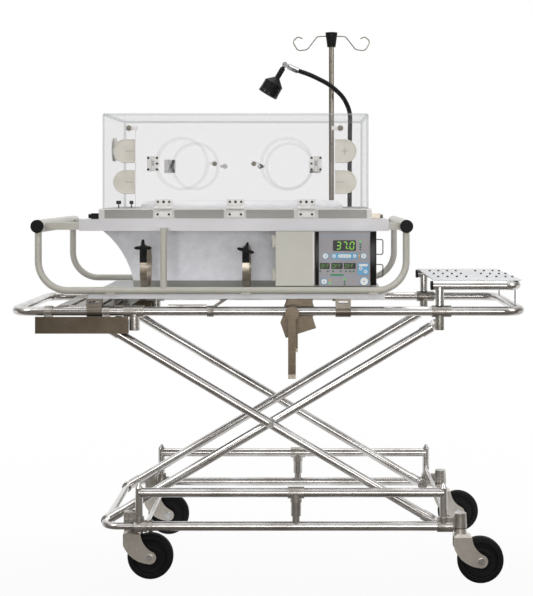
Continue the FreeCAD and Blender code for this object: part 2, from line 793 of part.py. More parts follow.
def tee(x0, length, stub_x, stub_r, stub_z):
    start = Vector(x0, -DECK_Y, DECK_Z)
    end = start + RIGHT * length
    stub = rod(Vector(stub_x, -DECK_Y, stub_z), Vector(stub_x, -DECK_Y, DECK_Z), stub_r)
    whole = rod(start, end, RAIL_R + SLEEVE_WALL).fuse(stub)
    return whole.cut(rod(start, end, RAIL_R + SEAT_GAP))


def right_tee():
    whole = tee(TEE_RIGHT_X, TEE_RIGHT_LENGTH, STUB_RIGHT_X, STUB_RIGHT_R, STUB_RIGHT_Z)
    start = Vector(PIVOT_X, -DECK_Y, TOP_PIVOT_Z)
    boss = rod(start, Vector(PIVOT_X, -INNER_Y - HUB_HALF - HUB_AIR, TOP_PIVOT_Z), TOP_BOSS_R)
    pivot = rod(start + BACK * STUB_RIGHT_R, Vector(PIVOT_X, -INNER_Y + HUB_HALF + PIN_END, TOP_PIVOT_Z),
                PIVOT_PIN_R)
    return fuse([whole, boss, pivot])


def ring(x0, length):
    start = Vector(x0, -DECK_Y, DECK_Z)
    return sleeve(start, start + RIGHT * length, RAIL_R + SEAT_GAP, RING_WALL)


def hanger(x0, length):
    # the ring's lug, which reaches down to the roller track behind its lip
    lug = block(x0, x0 + length, -TRACK_FACE_Y + TRACK_WALL, -HANGER_Y0, TOP_PIVOT_Z + TRACK_HALF, DECK_Z)
    start = Vector(x0, -DECK_Y, DECK_Z)
    return lug.cut(rod(start, start + RIGHT * length, RAIL_R + SEAT_GAP))


def clamp(x):
    start = Vector(x - CLAMP_HALF, -DECK_Y, DECK_Z)
    end = start + RIGHT * CLAMP_HALF * 2
    body = rod(start, end, RAIL_R + SLEEVE_WALL)
    y0, y1 = -DECK_Y - CLAMP_BLOCK_Y, -DECK_Y + CLAMP_BLOCK_Y
    tower = block(x - CLAMP_HALF, x + CLAMP_HALF, y0, y1, DECK_Z, PLATE_Z)
    slot_z = (DECK_Z + RAIL_R + SLEEVE_WALL + PLATE_Z) / 2
    slot = block(x - CLAMP_SLOT_HALF, x + CLAMP_SLOT_HALF, y0, y1, slot_z - CLAMP_SLOT_Z / 2,
                 slot_z + CLAMP_SLOT_Z / 2)
    return body.fuse(tower).cut(slot).cut(rod(start, end, RAIL_R + SEAT_GAP))


def deck_fittings():
    left = tee(TEE_LEFT_X, TEE_LEFT_LENGTH, STUB_LEFT_X, STUB_LEFT_R, STUB_LEFT_Z)
    pieces = [left, right_tee()]
    for x0, length in (RING_1, RING_2):
        pieces.append(fuse([ring(x0, length), hanger(x0, length)]))
    pieces.append(ring(*RING_3))
    pieces += top_bars()
    return both_sides(pieces)


def hold_down_clamps():
    return both_sides([clamp(x) for x in CLAMP_XS])


def top_bars():
    # the flat bar on the rail, and the slanted link beside it
    x0, x1 = TOP_BAR_X0, TOP_BAR_X1
    z = DECK_Z + RAIL_R
    bar = block(x0, x1, -DECK_Y - TOP_BAR_HALF_Y, -DECK_Y + TOP_BAR_HALF_Y, z, z + TOP_BAR_T)
    low = Vector(RING_3[0] + LINK_LOW, -DECK_Y, z + LINK_R)
    high = Vector(RING_3[0] + LINK_HIGH, -DECK_Y, PLATE_Z)
    way = (high - low).normalize() * LINK_R * 2
    x0, x1 = (low - way * 2).x, (high + way * 2).x
    keep = block(x0, x1, -DECK_Y - LINK_R * 2, -DECK_Y + LINK_R * 2, z, PLATE_Z)
    link = rod(low - way, high + way, LINK_R).common(keep)
    return [bar, link]


def platform_plate():
    y = PLATFORM_Y
    plate = block(PLATFORM_X0, PLATFORM_X1, -y, y, PLATFORM_Z, PLATFORM_Z + PLATFORM_T)
    corners = [e for e in plate.Edges if e.BoundBox.ZLength > PLATFORM_T / 2]
    plate = plate.makeFillet(RAIL_R * 2, corners)
    pitch = (PLATFORM_X1 - PLATFORM_X0) / (PLATFORM_SLOTS + 1)
    for i in range(PLATFORM_SLOTS):
        x = PLATFORM_X0 + pitch * (i + 1)
        plate = plate.cut(block(x - PLATFORM_SLOT_R, x + PLATFORM_SLOT_R, -y / 2, y / 2, PLATFORM_Z,
                                PLATFORM_Z + PLATFORM_T))
    # four hooks over the rails carry it
    hooks = []
    for x in (PLATFORM_X0 + RAIL_R * 3, PLATFORM_X1 - RAIL_R):
        hook = block(x - RAIL_R, x + RAIL_R, -DECK_Y - PLATFORM_HOOK_OUT, -y + PLATFORM_T, PLATFORM_Z,
                     DECK_Z + RAIL_R + PLATFORM_T)
        start = Vector(x - RAIL_R, -DECK_Y, DECK_Z)
        hook = hook.cut(rod(start, start + RIGHT * RAIL_R * 2, RAIL_R + SEAT_GAP))
        hooks += [hook, rear(hook)]
    return [fuse([plate] + hooks)]


def roller_tracks():
    z = TOP_PIVOT_Z
    body = block(TRACK_X0, TRACK_X1, -TRACK_FACE_Y, -TRACK_OPEN_Y, z - TRACK_HALF, z + TRACK_HALF)
    hollow = block(TRACK_X0 + TRACK_WALL, TRACK_X1 - TRACK_WALL, -TRACK_FACE_Y + TRACK_WALL, -TRACK_OPEN_Y,
                   z - TRACK_HALF + TRACK_WALL, z + TRACK_HALF - TRACK_WALL)
    # a thin lip in front of the hangers
    lip = block(TRACK_X0, TRACK_X1, -TRACK_FACE_Y, -TRACK_FACE_Y + TRACK_WALL, z, z + TRACK_HALF + TRACK_LIP)
    return both_sides([body.cut(hollow).fuse(lip).removeSplitter()])


LATCH_PLATE = ((34, 707), (39, 719), (55, 771), (121, 771), (127, 750), (124, 720), (133, 691), (79, 674),
               (54, 665), (49, 664))


def latch_plates():
    plate = polygon_y(LATCH_PLATE, -LATCH_PLATE_Y, -LATCH_PLATE_Y + LATCH_PLATE_T)
    return both_sides([plate.cut(deck_holes())])


def release_lever():
    reach = LEVER_Y + LEVER_T + LEVER_DISC_T
    shaft = rod(Vector(LEVER_X, -reach, LEVER_Z), Vector(LEVER_X, reach, LEVER_Z), LEVER_SHAFT_R)
    y0 = -LEVER_Y - LEVER_T
    arm = block(LEVER_X - LEVER_HALF, LEVER_X + LEVER_HALF, y0, -LEVER_Y, LEVER_LOW_Z, LEVER_Z)
    toe = block(LEVER_X - LEVER_HALF, LEVER_X + LEVER_HALF, y0 - TOE_OUT, -LEVER_Y + TOE_OUT, LEVER_LOW_Z,
                LEVER_LOW_Z + LEVER_TOE)
    disc = rod(Vector(LEVER_X, -reach, LEVER_Z), Vector(LEVER_X, -LEVER_Y, LEVER_Z), LEVER_DISC_R)
    side = fuse([arm, toe, disc])
    return [fuse([shaft, side, rear(side)])]


# shelf

def shelf_frame():
    end_x = SHELF_END_X - RAIL_R
    start = Vector(SHELF_TUBE_X0, -DECK_Y, SHELF_Z)
    corner = Vector(end_x, -DECK_Y, SHELF_Z)
    points = [start, corner, rear_point(corner), rear_point(start)]
    loop = bent_rod(points, [SHELF_CORNER] * 2, RAIL_R)
    low_x = DECK_HALF - RAIL_R
    bottom = rod(Vector(low_x, -DECK_Y, DECK_Z), Vector(low_x, DECK_Y, DECK_Z), RAIL_R)
    for side in (-1, 1):
        low = Vector(STUB_RIGHT_X, side * DECK_Y, DECK_Z + RAIL_R + SLEEVE_WALL)
        loop = loop.fuse(rod(low, Vector(STUB_RIGHT_X, side * DECK_Y, SHELF_Z), STUB_RIGHT_R))
        stay = rod(Vector(STAY_X, side * STAY_Y, DECK_Z), Vector(STAY_X, side * STAY_Y, SHELF_Z), STAY_R)
        loop = loop.fuse(stay.cut(bottom))
    return [loop]


def shelf_plate():
    z = SHELF_Z + RAIL_R
    plate = block(SHELF_PLATE_X0, SHELF_PLATE_X1, -SHELF_PLATE_Y, SHELF_PLATE_Y, z, z + SHELF_PLATE_T)
    for row_y in SHELF_HOLE_ROWS:
        for i in range(8):
            x = SHELF_HOLE_X0 + i * SHELF_HOLE_PITCH + (i // 4) * (SHELF_HOLE_GAP - SHELF_HOLE_PITCH)
            x = min(x, SHELF_PLATE_X1 - SHELF_HOLE_R * 3)
            middle = Vector(x, row_y, z)
            plate = plate.cut(bore(middle, middle + UP * SHELF_PLATE_T, SHELF_HOLE_R))
    return [plate]


def end_caps():
    caps = []
    x = SHELF_TUBE_X0
    caps.append(rod(Vector(x - SHELF_PLUG, -DECK_Y, SHELF_Z), Vector(x, -DECK_Y, SHELF_Z), RAIL_R))
    for x in (CAGE_LEFT_X, CAGE_RIGHT_X):
        start = Vector(x, -HANDLE_HALF - HANDLE_CAP, HANDLE_Z)
        caps.append(rod(start, start + BACK * HANDLE_CAP, HANDLE_R))
    return both_sides(caps)


# incubator body

def pan(x0, x1, y0, y1, z0, z1, wall):
    # a folded sheet, open below
    return block(x0, x1, y0, y1, z0, z1).cut(block(x0 + wall, x1 - wall, y0 + wall, y1 - wall, z0, z1 - wall))


def adapter_plate():
    return [pan(PLATE_X0, PLATE_X1, -PLATE_Y, PLATE_Y, PLATE_Z, PLATE_Z + PLATE_T, SHEET)]


def base_tray():
    z0 = PLATE_Z + PLATE_T
    tray = pan(TRAY_X0, TRAY_X1, HOUSING_FRONT_Y, HOUSING_BACK_Y, z0, HOUSING_Z, SHEET)
    foot = pan(BAY_X0 + CASE_FOOT_INSET, CASE_X1 - CASE_FOOT_INSET, CASE_FRONT_Y + CASE_FOOT_INSET,
               HOUSING_FRONT_Y, z0, CASE_Z0, SHEET)
    return [tray.fuse(foot)]


def housing():
    outer = housing_block(0, HOUSING_FRONT_Y, HOUSING_BACK_Y)
    inner = housing_block(HOUSING_WALL, HOUSING_FRONT_Y + HOUSING_WALL, HOUSING_BACK_Y - HOUSING_WALL)
    return [outer.cut(inner)]


def housing_block(inset, y0, y1):
    # the left end swells upward in a curve; the top is open under the upper deck
    left, right = TRAY_X0 + inset, TRAY_X1 - inset
    low, top = HOUSING_Z + inset, UPPER_Z1 - UPPER_WALL
    lip = Vector(left - HOUSING_SWELL, y0, UPPER_Z0 - inset)
    corner = Vector(left - HOUSING_SWELL, y0, top)
    belly = Vector(left - HOUSING_SWELL * SWELL_IN, y0, (low + UPPER_Z0) / 2 + HOUSING_SWELL * SWELL_UP)
    points = [Vector(left, y0, low), Vector(right, y0, low), Vector(right, y0, top), corner, lip]
    edges = [Part.LineSegment(a, b).toShape() for a, b in zip(points, points[1:])]
    edges.append(Part.Arc(lip, belly, points[0]).toShape())
    return Part.Face(Part.Wire(edges)).extrude(Vector(0, y1 - y0, 0))


def cage_tube():
    top = HANDLE_Z
    points = [Vector(CAGE_LEFT_X, -CAGE_Y, top), Vector(CAGE_LEFT_X, -CAGE_Y, CAGE_LOW_Z),
              Vector(CAGE_RIGHT_X, -CAGE_Y, CAGE_LOW_Z), Vector(CAGE_RIGHT_X, -CAGE_Y, top)]
    return bent_rod(points, [CAGE_CORNER] * 2, CAGE_R)


def handle_rods():
    rods = []
    for x in (CAGE_LEFT_X, CAGE_RIGHT_X):
        rods.append(rod(Vector(x, -HANDLE_HALF, HANDLE_Z), Vector(x, HANDLE_HALF, HANDLE_Z), HANDLE_R))
    return rods


def cage_frame():
    # two bent side tubes, their posts and feet, the arms and the cross handles, welded into one
    low = Vector(CAGE_POST_X, -CAGE_Y, CAGE_LOW_Z)
    post = rod(low, Vector(CAGE_POST_X, -CAGE_Y, UPPER_Z0 + CAGE_TAB_T), CAGE_R)
    tab = block(CAGE_POST_X - CAGE_R, CAGE_POST_X + CAGE_R, -CAGE_Y, -UPPER_Y, UPPER_Z0,
                UPPER_Z0 + CAGE_TAB_T)
    side = [cage_tube(), post, tab]
    for x in CAGE_FEET:
        side.append(block(x - CAGE_FOOT_HALF, x + CAGE_FOOT_HALF, -CAGE_Y - CAGE_FOOT_Y,
                          -CAGE_Y + CAGE_FOOT_Y, PLATE_Z + PLATE_T, CAGE_LOW_Z))
    for x, edge in ((CAGE_LEFT_X, UPPER_X0), (CAGE_RIGHT_X, UPPER_X1)):
        x0, x1 = sorted((x, edge))
        side.append(block(x0, x1, -ARM_Y1, -ARM_Y0, ARM_Z0, ARM_Z1))
    return [fuse(both_sides([fuse(side)]) + handle_rods())]


def upper_deck():
    body = block(UPPER_X0, UPPER_X1, -UPPER_Y, UPPER_Y, UPPER_Z0, UPPER_Z1)
    hollow = block(UPPER_X0 + UPPER_WALL, UPPER_X1 - UPPER_WALL, -UPPER_Y + UPPER_WALL, UPPER_Y - UPPER_WALL,
                   UPPER_Z0, UPPER_Z1 - UPPER_WALL)
    return [body.cut(hollow)]


def controller_case():
    back = HOUSING_FRONT_Y
    z0, z1 = CASE_Z0 + CASE_WALL, CASE_Z1 - CASE_WALL
    body = block(BAY_X0, CASE_X1, CASE_FRONT_Y, back, CASE_Z0, CASE_Z1)
    bay = block(BAY_X0 + CASE_WALL, BAY_X1 - CASE_WALL, CASE_FRONT_Y, back - CASE_WALL, z0, z1)
    works = block(BAY_X1, CASE_X1 - CASE_WALL, CASE_FRONT_Y + CASE_WALL, back, z0, z1)
    body = body.cut(bay).cut(works)
    face = CASE_FRONT_Y - BEZEL_T
    bezel = block(BAY_X1, CASE_X1, face, CASE_FRONT_Y, CASE_Z0, CASE_Z1)
    pocket = block(BAY_X1 + BEZEL_SIDE, CASE_X1 - BEZEL_SIDE, face, face + POCKET, CASE_Z0 + POCKET,
                   CASE_Z1 - POCKET)
    pieces = [body, bezel.cut(pocket)]
    for z in KNUCKLE_Z:
        half = KNUCKLE_LENGTH / 2
        pieces.append(module_knuckle(z + half, z + KNUCKLE_LENGTH))
        pieces.append(module_knuckle(z - KNUCKLE_LENGTH, z - half))
        pieces.append(pin(module_axis(z - KNUCKLE_LENGTH), module_axis(z + KNUCKLE_LENGTH), DOOR_PIN_R))
    return [fuse(pieces)]


def module_axis(z):
    return Vector(BAY_X0 - KNUCKLE_R, CASE_FRONT_Y - DOOR_AIR, z)


def module_knuckle(z0, z1):
    barrel = rod(module_axis(z0), module_axis(z1), KNUCKLE_R)
    lug = block(BAY_X0 - KNUCKLE_R, BAY_X0 + DOOR_AIR / 2, CASE_FRONT_Y + DOOR_AIR / 2,
                CASE_FRONT_Y + KNUCKLE_R * 0.7, z0, z1)
    return barrel.fuse(lug)


def module_door():
    y1 = CASE_FRONT_Y - DOOR_AIR
    y0 = y1 - DOOR_T
    panel = block(BAY_X0, BAY_X1 - DOOR_AIR, y0, y1, CASE_Z0, CASE_Z1)
    edges = [e for e in panel.Edges if e.BoundBox.ZLength > DOOR_T * 4 and e.BoundBox.YMin < y0 + DOOR_T / 2]
    panel = panel.makeFillet(DOOR_T / 2, edges)
    for z in KNUCKLE_Z:
        z0 = z - KNUCKLE_LENGTH / 2 + RUN_GAP
        z1 = z + KNUCKLE_LENGTH / 2 - RUN_GAP
        barrel = rod(module_axis(z0), module_axis(z1), KNUCKLE_R)
        lug = block(BAY_X0 - KNUCKLE_R, BAY_X0 + KNUCKLE_R, y0 + DOOR_AIR, y1, z0, z1)
        panel = panel.fuse(barrel).fuse(lug)
        panel = panel.cut(bore(module_axis(z0), module_axis(z1), DOOR_PIN_R + RUN_GAP))
    return [panel]


def battery_pack():
    gap = BATTERY_GAP + CASE_WALL
    pack = block(BAY_X0 + gap, BAY_X1 - gap, CASE_FRONT_Y + gap, HOUSING_FRONT_Y - gap, CASE_Z0 + CASE_WALL,
                 CASE_Z1 - gap * 2)
    edges = [e for e in pack.Edges if e.BoundBox.ZLength > gap * 2]
    return [pack.makeFillet(CASE_WALL, edges)]


def cable_bails():
    bails = []
    for z0, z1 in BAIL_Z:
        points = [Vector(BAIL_X, BAIL_Y, z0), Vector(BAIL_X + BAIL_DEPTH, BAIL_Y, z0),
                  Vector(BAIL_X + BAIL_DEPTH, BAIL_Y, z1), Vector(BAIL_X, BAIL_Y, z1)]
        bails.append(bent_rod(points, [BAIL_R * 3] * 2, BAIL_R))
    return bails


def strap_clamp(x, knob_z):
    half = STRAP_WIDTH / 2
    centre = Vector(x - half, STRAP_Y, STRAP_Z)
    end = centre + RIGHT * STRAP_WIDTH
    band = sleeve(centre, end, STRAP_R, STRAP_T)
    outer = STRAP_R + STRAP_T
    back_y = STRAP_Y - STRAP_BACK_EAR
    mouth = block(x - half, x + half, STRAP_Y - outer, back_y, STRAP_Z, STRAP_Z + outer)
    band = band.cut(mouth)
    top = STRAP_Z + STRAP_EAR_TOP
    front_ear = block(x - half, x + half, STRAP_Y - outer, STRAP_Y - STRAP_R, STRAP_Z, top)
    low = STRAP_Z + math.sqrt(STRAP_R ** 2 - (STRAP_BACK_EAR - STRAP_T) ** 2)
    back_ear = block(x - half, x + half, back_y, back_y + STRAP_T, low, top)
    y0, y1, z0 = STRAP_Y - STRAP_FOOT_HALF, STRAP_Y + STRAP_FOOT_HALF, PLATE_Z + PLATE_T
    foot = block(x - half, x + half, y0, y1, z0, STRAP_Z).cut(rod(centre, end, STRAP_R + STRAP_T / 2))
    flange = block(x - half * 2, x + half * 2, y0, y1, z0, z0 + STRAP_T)
    whole = fuse([band, front_ear, back_ear, foot, flange])
    screw = bore(Vector(x, STRAP_Y - outer * 2, knob_z), Vector(x, STRAP_Y, knob_z), SCREW_R + RUN_GAP)
    return whole.cut(screw)


def strap_clamps():
    return [strap_clamp(x, z) for x, z in zip(STRAP_XS, KNOB_ZS)]


def star_knob(x, z, turn):
    y0 = STRAP_Y - STRAP_R - STRAP_T - RUN_GAP
    face = Vector(x, y0 - KNOB_T, z)
    body = rod(face, face + BACK * KNOB_T, KNOB_CORE_R)
    for i in range(KNOB_LOBES):
        angle = math.radians(90 + turn + i * 360 / KNOB_LOBES)
        reach = KNOB_R - KNOB_LOBE_R
        tip = face + Vector(math.cos(angle) * reach, 0, math.sin(angle) * reach)
        lobe = rod(tip, tip + BACK * KNOB_T, KNOB_LOBE_R)
        spoke = block(0, reach, 0, KNOB_T, -KNOB_SPOKE, KNOB_SPOKE)
        spoke = turned(spoke, Vector(0, 0, 0), BACK, -math.degrees(angle)).translated(face)
        body = body.fuse(lobe).fuse(spoke)
    screw = rod(Vector(x, y0, z), Vector(x, STRAP_Y - STRAP_BACK_EAR + STRAP_T + RUN_GAP, z), SCREW_R)
    return [fuse([body, screw])]


# hood

def hood_box():
    outer = block(HOOD_X0, HOOD_X1, -HOOD_Y, HOOD_Y, HOOD_Z0, HOOD_Z1)
    edges = [e for e in outer.Edges if e.BoundBox.ZMin > HOOD_Z1 - 1 or e.BoundBox.ZLength > HOOD_WALL]
    outer = outer.makeFillet(HOOD_EDGE, edges)
    inner = block(HOOD_X0 + HOOD_WALL, HOOD_X1 - HOOD_WALL, -HOOD_Y + HOOD_WALL, HOOD_Y - HOOD_WALL,
                  HOOD_Z0, HOOD_Z1 - HOOD_WALL)
    return outer.cut(inner)


def grommet(edge_x, sign, z, grow, flat_gap):
    # a D with its flat side on the door's edge
    y0 = -HOOD_Y + HOOD_WALL / 2 - GROMMET_T / 2
    half = GROMMET_HALF + grow
    round_x = edge_x - sign * (GROMMET_WIDTH - GROMMET_HALF)
    middle = Vector(round_x, y0, z)
    disc = rod(middle, middle + BACK * GROMMET_T, half)
    x0, x1 = sorted((round_x, edge_x - sign * flat_gap))
    flat = block(x0, x1, y0, y0 + GROMMET_T, z - half, z + half)
    side0, side1 = sorted((round_x, round_x - sign * half))
    keep = block(side0, side1, y0, y0 + GROMMET_T, z - half, z + half)
    return disc.common(keep).fuse(flat).removeSplitter()


def grommet_places():
    for z in GROMMET_Z:
        yield FRONT_X0, 1, z
        yield FRONT_X1, -1, z


def grommets():
    pieces = [grommet(edge, sign, z, 0, FRONT_GAP) for edge, sign, z in grommet_places()]
    centre = Vector(HOOD_X0 - END_PORT_T + HOOD_WALL, 0, END_PORT_Z)
    pieces.append(end_port(centre, END_PORT_T + 2, 0))
    return pieces


def end_port(centre, depth, grow):
    y, z = END_PORT_HALF_Y + grow, END_PORT_HALF_Z + grow
    lower = centre - Vector(0, 0, z - y)
    upper = centre + Vector(0, 0, z - y)
    body = block(centre.x, centre.x + depth, -y, y, lower.z, upper.z)
    return fuse([body, rod(lower, lower + RIGHT * depth, y), rod(upper, upper + RIGHT * depth, y)])


def hood_shell():
    shell = hood_box()
    opening = block(FRONT_X0, FRONT_X1, -HOOD_Y, -HOOD_Y + HOOD_WALL, HOOD_Z0, FRONT_Z1 + FRONT_GAP)
    shell = shell.cut(opening)
    for edge, sign, z in grommet_places():
        shell = shell.cut(grommet(edge, sign, z, SEAT_GAP, -FRONT_GAP))
    for x in PORT_X:
        way = Vector(x, HOOD_Y - HOOD_WALL * 2, PORT_Z)
        shell = shell.cut(bore(way, way + BACK * HOOD_WALL * 3, PORT_HOLE_R))
    centre = Vector(HOOD_X0 - HOOD_WALL, 0, END_PORT_Z)
    shell = shell.cut(end_port(centre, HOOD_WALL * 3, SEAT_GAP))
    for x in LATCH_XS:
        start = Vector(x, -HOOD_Y - HOOD_WALL, LATCH_Z)
        shell = shell.cut(bore(start, start + BACK * HOOD_WALL * 3, LATCH_STEM_R + RUN_GAP))
    for x, sign in zip(PORT_X, (1, -1)):
        start = Vector(x + sign * PORT_LATCH_OFFSET, HOOD_Y - HOOD_WALL * 2, PORT_Z)
        shell = shell.cut(bore(start, start + BACK * HOOD_WALL * 4, PORT_LATCH_STEM_R + RUN_GAP))
    return [shell]


def hood_base_strip():
    outer = block(HOOD_X0 - STRIP_OUT, HOOD_X1 + STRIP_OUT, -HOOD_Y - STRIP_OUT, HOOD_Y + STRIP_OUT,
                  UPPER_Z1, HOOD_Z0)
    inset = STRIP_WALL - STRIP_OUT
    inner = block(HOOD_X0 + inset, HOOD_X1 - inset, -HOOD_Y + inset, HOOD_Y - inset, UPPER_Z1, HOOD_Z0)
    strip = outer.cut(inner)
    edges = [e for e in strip.Edges if e.BoundBox.ZMin > HOOD_Z0 - 1 and (
        e.BoundBox.YMin < -HOOD_Y - 1 or e.BoundBox.YMax > HOOD_Y + 1)]
    long_edges = [e for e in edges if e.BoundBox.XLength > STRIP_OUT * 4]
    return [strip.makeChamfer(STRIP_OUT / 2, long_edges)]


def hinge_axis(x):
    return Vector(x, HINGE_Y, HINGE_Z)


def base_leaf(x):
    y_face = -HOOD_Y - STRIP_OUT
    leaf = block(x - HINGE_HALF, x + HINGE_HALF, y_face - LEAF_T, y_face, HINGE_Z - LEAF_HEIGHT - HINGE_R,
                 HINGE_Z - HINGE_R)
    pieces = [leaf]
    for x0 in (x - HINGE_HALF, x + HINGE_HALF - HINGE_KNUCKLE):
        pieces.append(rod(hinge_axis(x0), hinge_axis(x0 + HINGE_KNUCKLE), HINGE_R))
        pieces.append(block(x0, x0 + HINGE_KNUCKLE, HINGE_Y, y_face, HINGE_Z - HINGE_R * 2, HINGE_Z))
    pieces.append(pin(hinge_axis(x - HINGE_HALF), hinge_axis(x + HINGE_HALF), HINGE_PIN_R))
    return fuse(pieces)


def door_leaf(x):
    half = HINGE_HALF - HINGE_KNUCKLE - RUN_GAP
    face = -HOOD_Y
    low = FRONT_Z0 + FRONT_GAP
    leaf = block(x - HINGE_HALF, x + HINGE_HALF, face - LEAF_T, face, low, FRONT_Z0 + LEAF_HEIGHT)
    barrel = rod(hinge_axis(x - half), hinge_axis(x + half), HINGE_R)
    arm = block(x - half, x + half, HINGE_Y - HINGE_R + LEAF_T / 3, face, low, low + HINGE_R)
    link = block(x - half, x + half, HINGE_Y - HINGE_R + LEAF_T / 3, HINGE_Y + HINGE_R - LEAF_T / 3, HINGE_Z,
                 low + HINGE_R)
    whole = fuse([leaf, barrel, arm, link])
    return whole.cut(bore(hinge_axis(x - half), hinge_axis(x + half), HINGE_PIN_R + RUN_GAP))


def port_axis(x, sign, y_sign):
    # the hinge line of a hand port: sign is the side of the port, y_sign the wall
    y = y_sign * (HOOD_Y + PORT_AIR + PORT_DOOR_T + PORT_HINGE_OUT)
    return Vector(x - sign * PORT_HINGE_OFFSET, y, PORT_Z)


def port_leaf(x, sign, y_sign):
    # the fixed half of a hand port's hinge
    axis = port_axis(x, sign, y_sign)
    x0, x1 = sorted((axis.x - sign * PORT_LEAF, axis.x - sign * PORT_AIR))
    y0, y1 = sorted((y_sign * HOOD_Y, y_sign * (HOOD_Y + PORT_LEAF_T)))
    leaf = block(x0, x1, y0, y1, PORT_Z - PORT_HINGE_HALF, PORT_Z + PORT_HINGE_HALF)
    pieces = [leaf]
    for z0 in (PORT_Z - PORT_HINGE_HALF, PORT_Z + PORT_HINGE_HALF - PORT_KNUCKLE):
        low = Vector(axis.x, axis.y, z0)
        pieces.append(rod(low, low + UP * PORT_KNUCKLE, PORT_HINGE_R))
        bx0, bx1 = sorted((axis.x - sign * PORT_HINGE_R, axis.x))
        by0, by1 = sorted((y_sign * HOOD_Y, axis.y))
        pieces.append(block(bx0, bx1, by0, by1, z0, z0 + PORT_KNUCKLE))
    low = Vector(axis.x, axis.y, PORT_Z - PORT_HINGE_HALF)
    pieces.append(pin(low, low + UP * PORT_HINGE_HALF * 2, PORT_PIN_R))
    return fuse(pieces)


def port_door(x, sign, y_sign):
    y_in = y_sign * (HOOD_Y + PORT_AIR)
    y_out = y_in + y_sign * PORT_DOOR_T
    disc = rod(Vector(x, y_in, PORT_Z), Vector(x, y_out, PORT_Z), PORT_R)
    axis = port_axis(x, sign, y_sign)
    half = PORT_HINGE_HALF - PORT_KNUCKLE - RUN_GAP
    low = Vector(axis.x, axis.y, PORT_Z - half)
    barrel = rod(low, low + UP * half * 2, PORT_HINGE_R)
    x0, x1 = sorted((axis.x, x - sign * (PORT_R - PORT_STRAP_IN)))
    y0, y1 = sorted((y_out, y_out + y_sign * PORT_LEAF_T))
    strap = block(x0, x1, y0, y1, PORT_Z - half, PORT_Z + half)
    whole = fuse([disc, strap, barrel])
    whole = whole.cut(bore(low, low + UP * half * 2, PORT_PIN_R + RUN_GAP))
    return [whole]


def port_latch(x, sign, y_sign):
    # a turn button with a short tab, beside the hand port's rim
    px = x + sign * PORT_LATCH_OFFSET
    y0 = y_sign * (HOOD_Y + RUN_GAP)
    top = y0 + y_sign * PORT_LATCH_T
    knob = rod(Vector(px, y0, PORT_Z), Vector(px, top, PORT_Z), PORT_LATCH_R)
    tab_y = sorted((y0 + y_sign * PORT_TAB_IN, top))
    tx = sorted((px, px - sign * PORT_LATCH_TAB))
    tab = block(tx[0], tx[1], tab_y[0], tab_y[1], PORT_Z - PORT_TAB_HALF, PORT_Z + PORT_TAB_HALF)
    stem_end = Vector(px, y_sign * (HOOD_Y - HOOD_WALL - STEM_END), PORT_Z)
    stem = rod(Vector(px, y0, PORT_Z), stem_end, PORT_LATCH_STEM_R)
    return [fuse([knob, tab, stem])]


def front_door():
    panel = block(FRONT_X0 + FRONT_GAP, FRONT_X1 - FRONT_GAP, -HOOD_Y, -HOOD_Y + HOOD_WALL, FRONT_Z0,
                  FRONT_Z1)
    for x, sign in zip(PORT_X, (1, -1)):
        start = Vector(x, -HOOD_Y - HOOD_WALL, PORT_Z)
        panel = panel.cut(bore(start, start + BACK * HOOD_WALL * 3, PORT_HOLE_R))
        start = Vector(x + sign * PORT_LATCH_OFFSET, -HOOD_Y - HOOD_WALL, PORT_Z)
        panel = panel.cut(bore(start, start + BACK * HOOD_WALL * 4, PORT_LATCH_STEM_R + RUN_GAP))
    return [panel]


def front_door_hinges():
    pieces = [door_leaf(x) for x in HINGE_XS]
    for x, sign in zip(PORT_X, (1, -1)):
        pieces.append(port_leaf(x, sign, -1))
    return pieces


def hood_hinge_leaves():
    pieces = [base_leaf(x) for x in HINGE_XS]
    for x, sign in zip(PORT_X, (1, -1)):
        pieces.append(port_leaf(x, sign, 1))
    return pieces


def door_latch(x, sign):
    y0 = -HOOD_Y - RUN_GAP
    front = y0 - LATCH_KNOB_T
    knob = rod(Vector(x, front, LATCH_Z), Vector(x, y0, LATCH_Z), LATCH_KNOB_R)
    x0, x1 = sorted((x, x + sign * LATCH_TAB))
    tab_y = y0 - LATCH_TAB_T / 3
    tab = block(x0, x1, tab_y - LATCH_TAB_T, tab_y, LATCH_Z - LATCH_TAB_HALF, LATCH_Z + LATCH_TAB_HALF)
    stem = rod(Vector(x, y0, LATCH_Z), Vector(x, -HOOD_Y + HOOD_WALL + STEM_END, LATCH_Z), LATCH_STEM_R)
    return [fuse([knob, tab, stem])]


def mattress_tray():
    z0 = UPPER_Z1
    body = block(BED_X0, BED_X1, -BED_Y, BED_Y, z0, z0 + BED_RIM)
    hollow = block(BED_X0 + BED_T, BED_X1 - BED_T, -BED_Y + BED_T, BED_Y - BED_T, z0 + BED_T, z0 + BED_RIM)
    return [body.cut(hollow)]


def mattress():
    y = BED_Y - MATTRESS_IN
    pad = block(BED_X0 + MATTRESS_IN, BED_X1 - MATTRESS_IN, -y, y, UPPER_Z1 + BED_T + RUN_GAP, MATTRESS_TOP)
    edges = [e for e in pad.Edges if e.BoundBox.ZMin > MATTRESS_TOP - 1 or e.BoundBox.ZLength > MATTRESS_EDGE]
    return [pad.makeFillet(MATTRESS_EDGE, edges)]


# pole, lamp and small fittings

def pole_socket():
    body = block(SOCKET_X0, SOCKET_X1, UPPER_Y, UPPER_Y + SOCKET_DEPTH, SOCKET_Z0, SOCKET_Z1)
    edges = [e for e in body.Edges if e.BoundBox.ZLength > SOCKET_DEPTH and e.BoundBox.YMin > UPPER_Y + 1]
    body = body.makeFillet(CHEEK * 2, edges)
    low = Vector(POLE_X, POLE_Y, POLE_LOW)
    return [body.cut(rod(low, Vector(POLE_X, POLE_Y, SOCKET_Z1), POLE_R + RUN_GAP))]


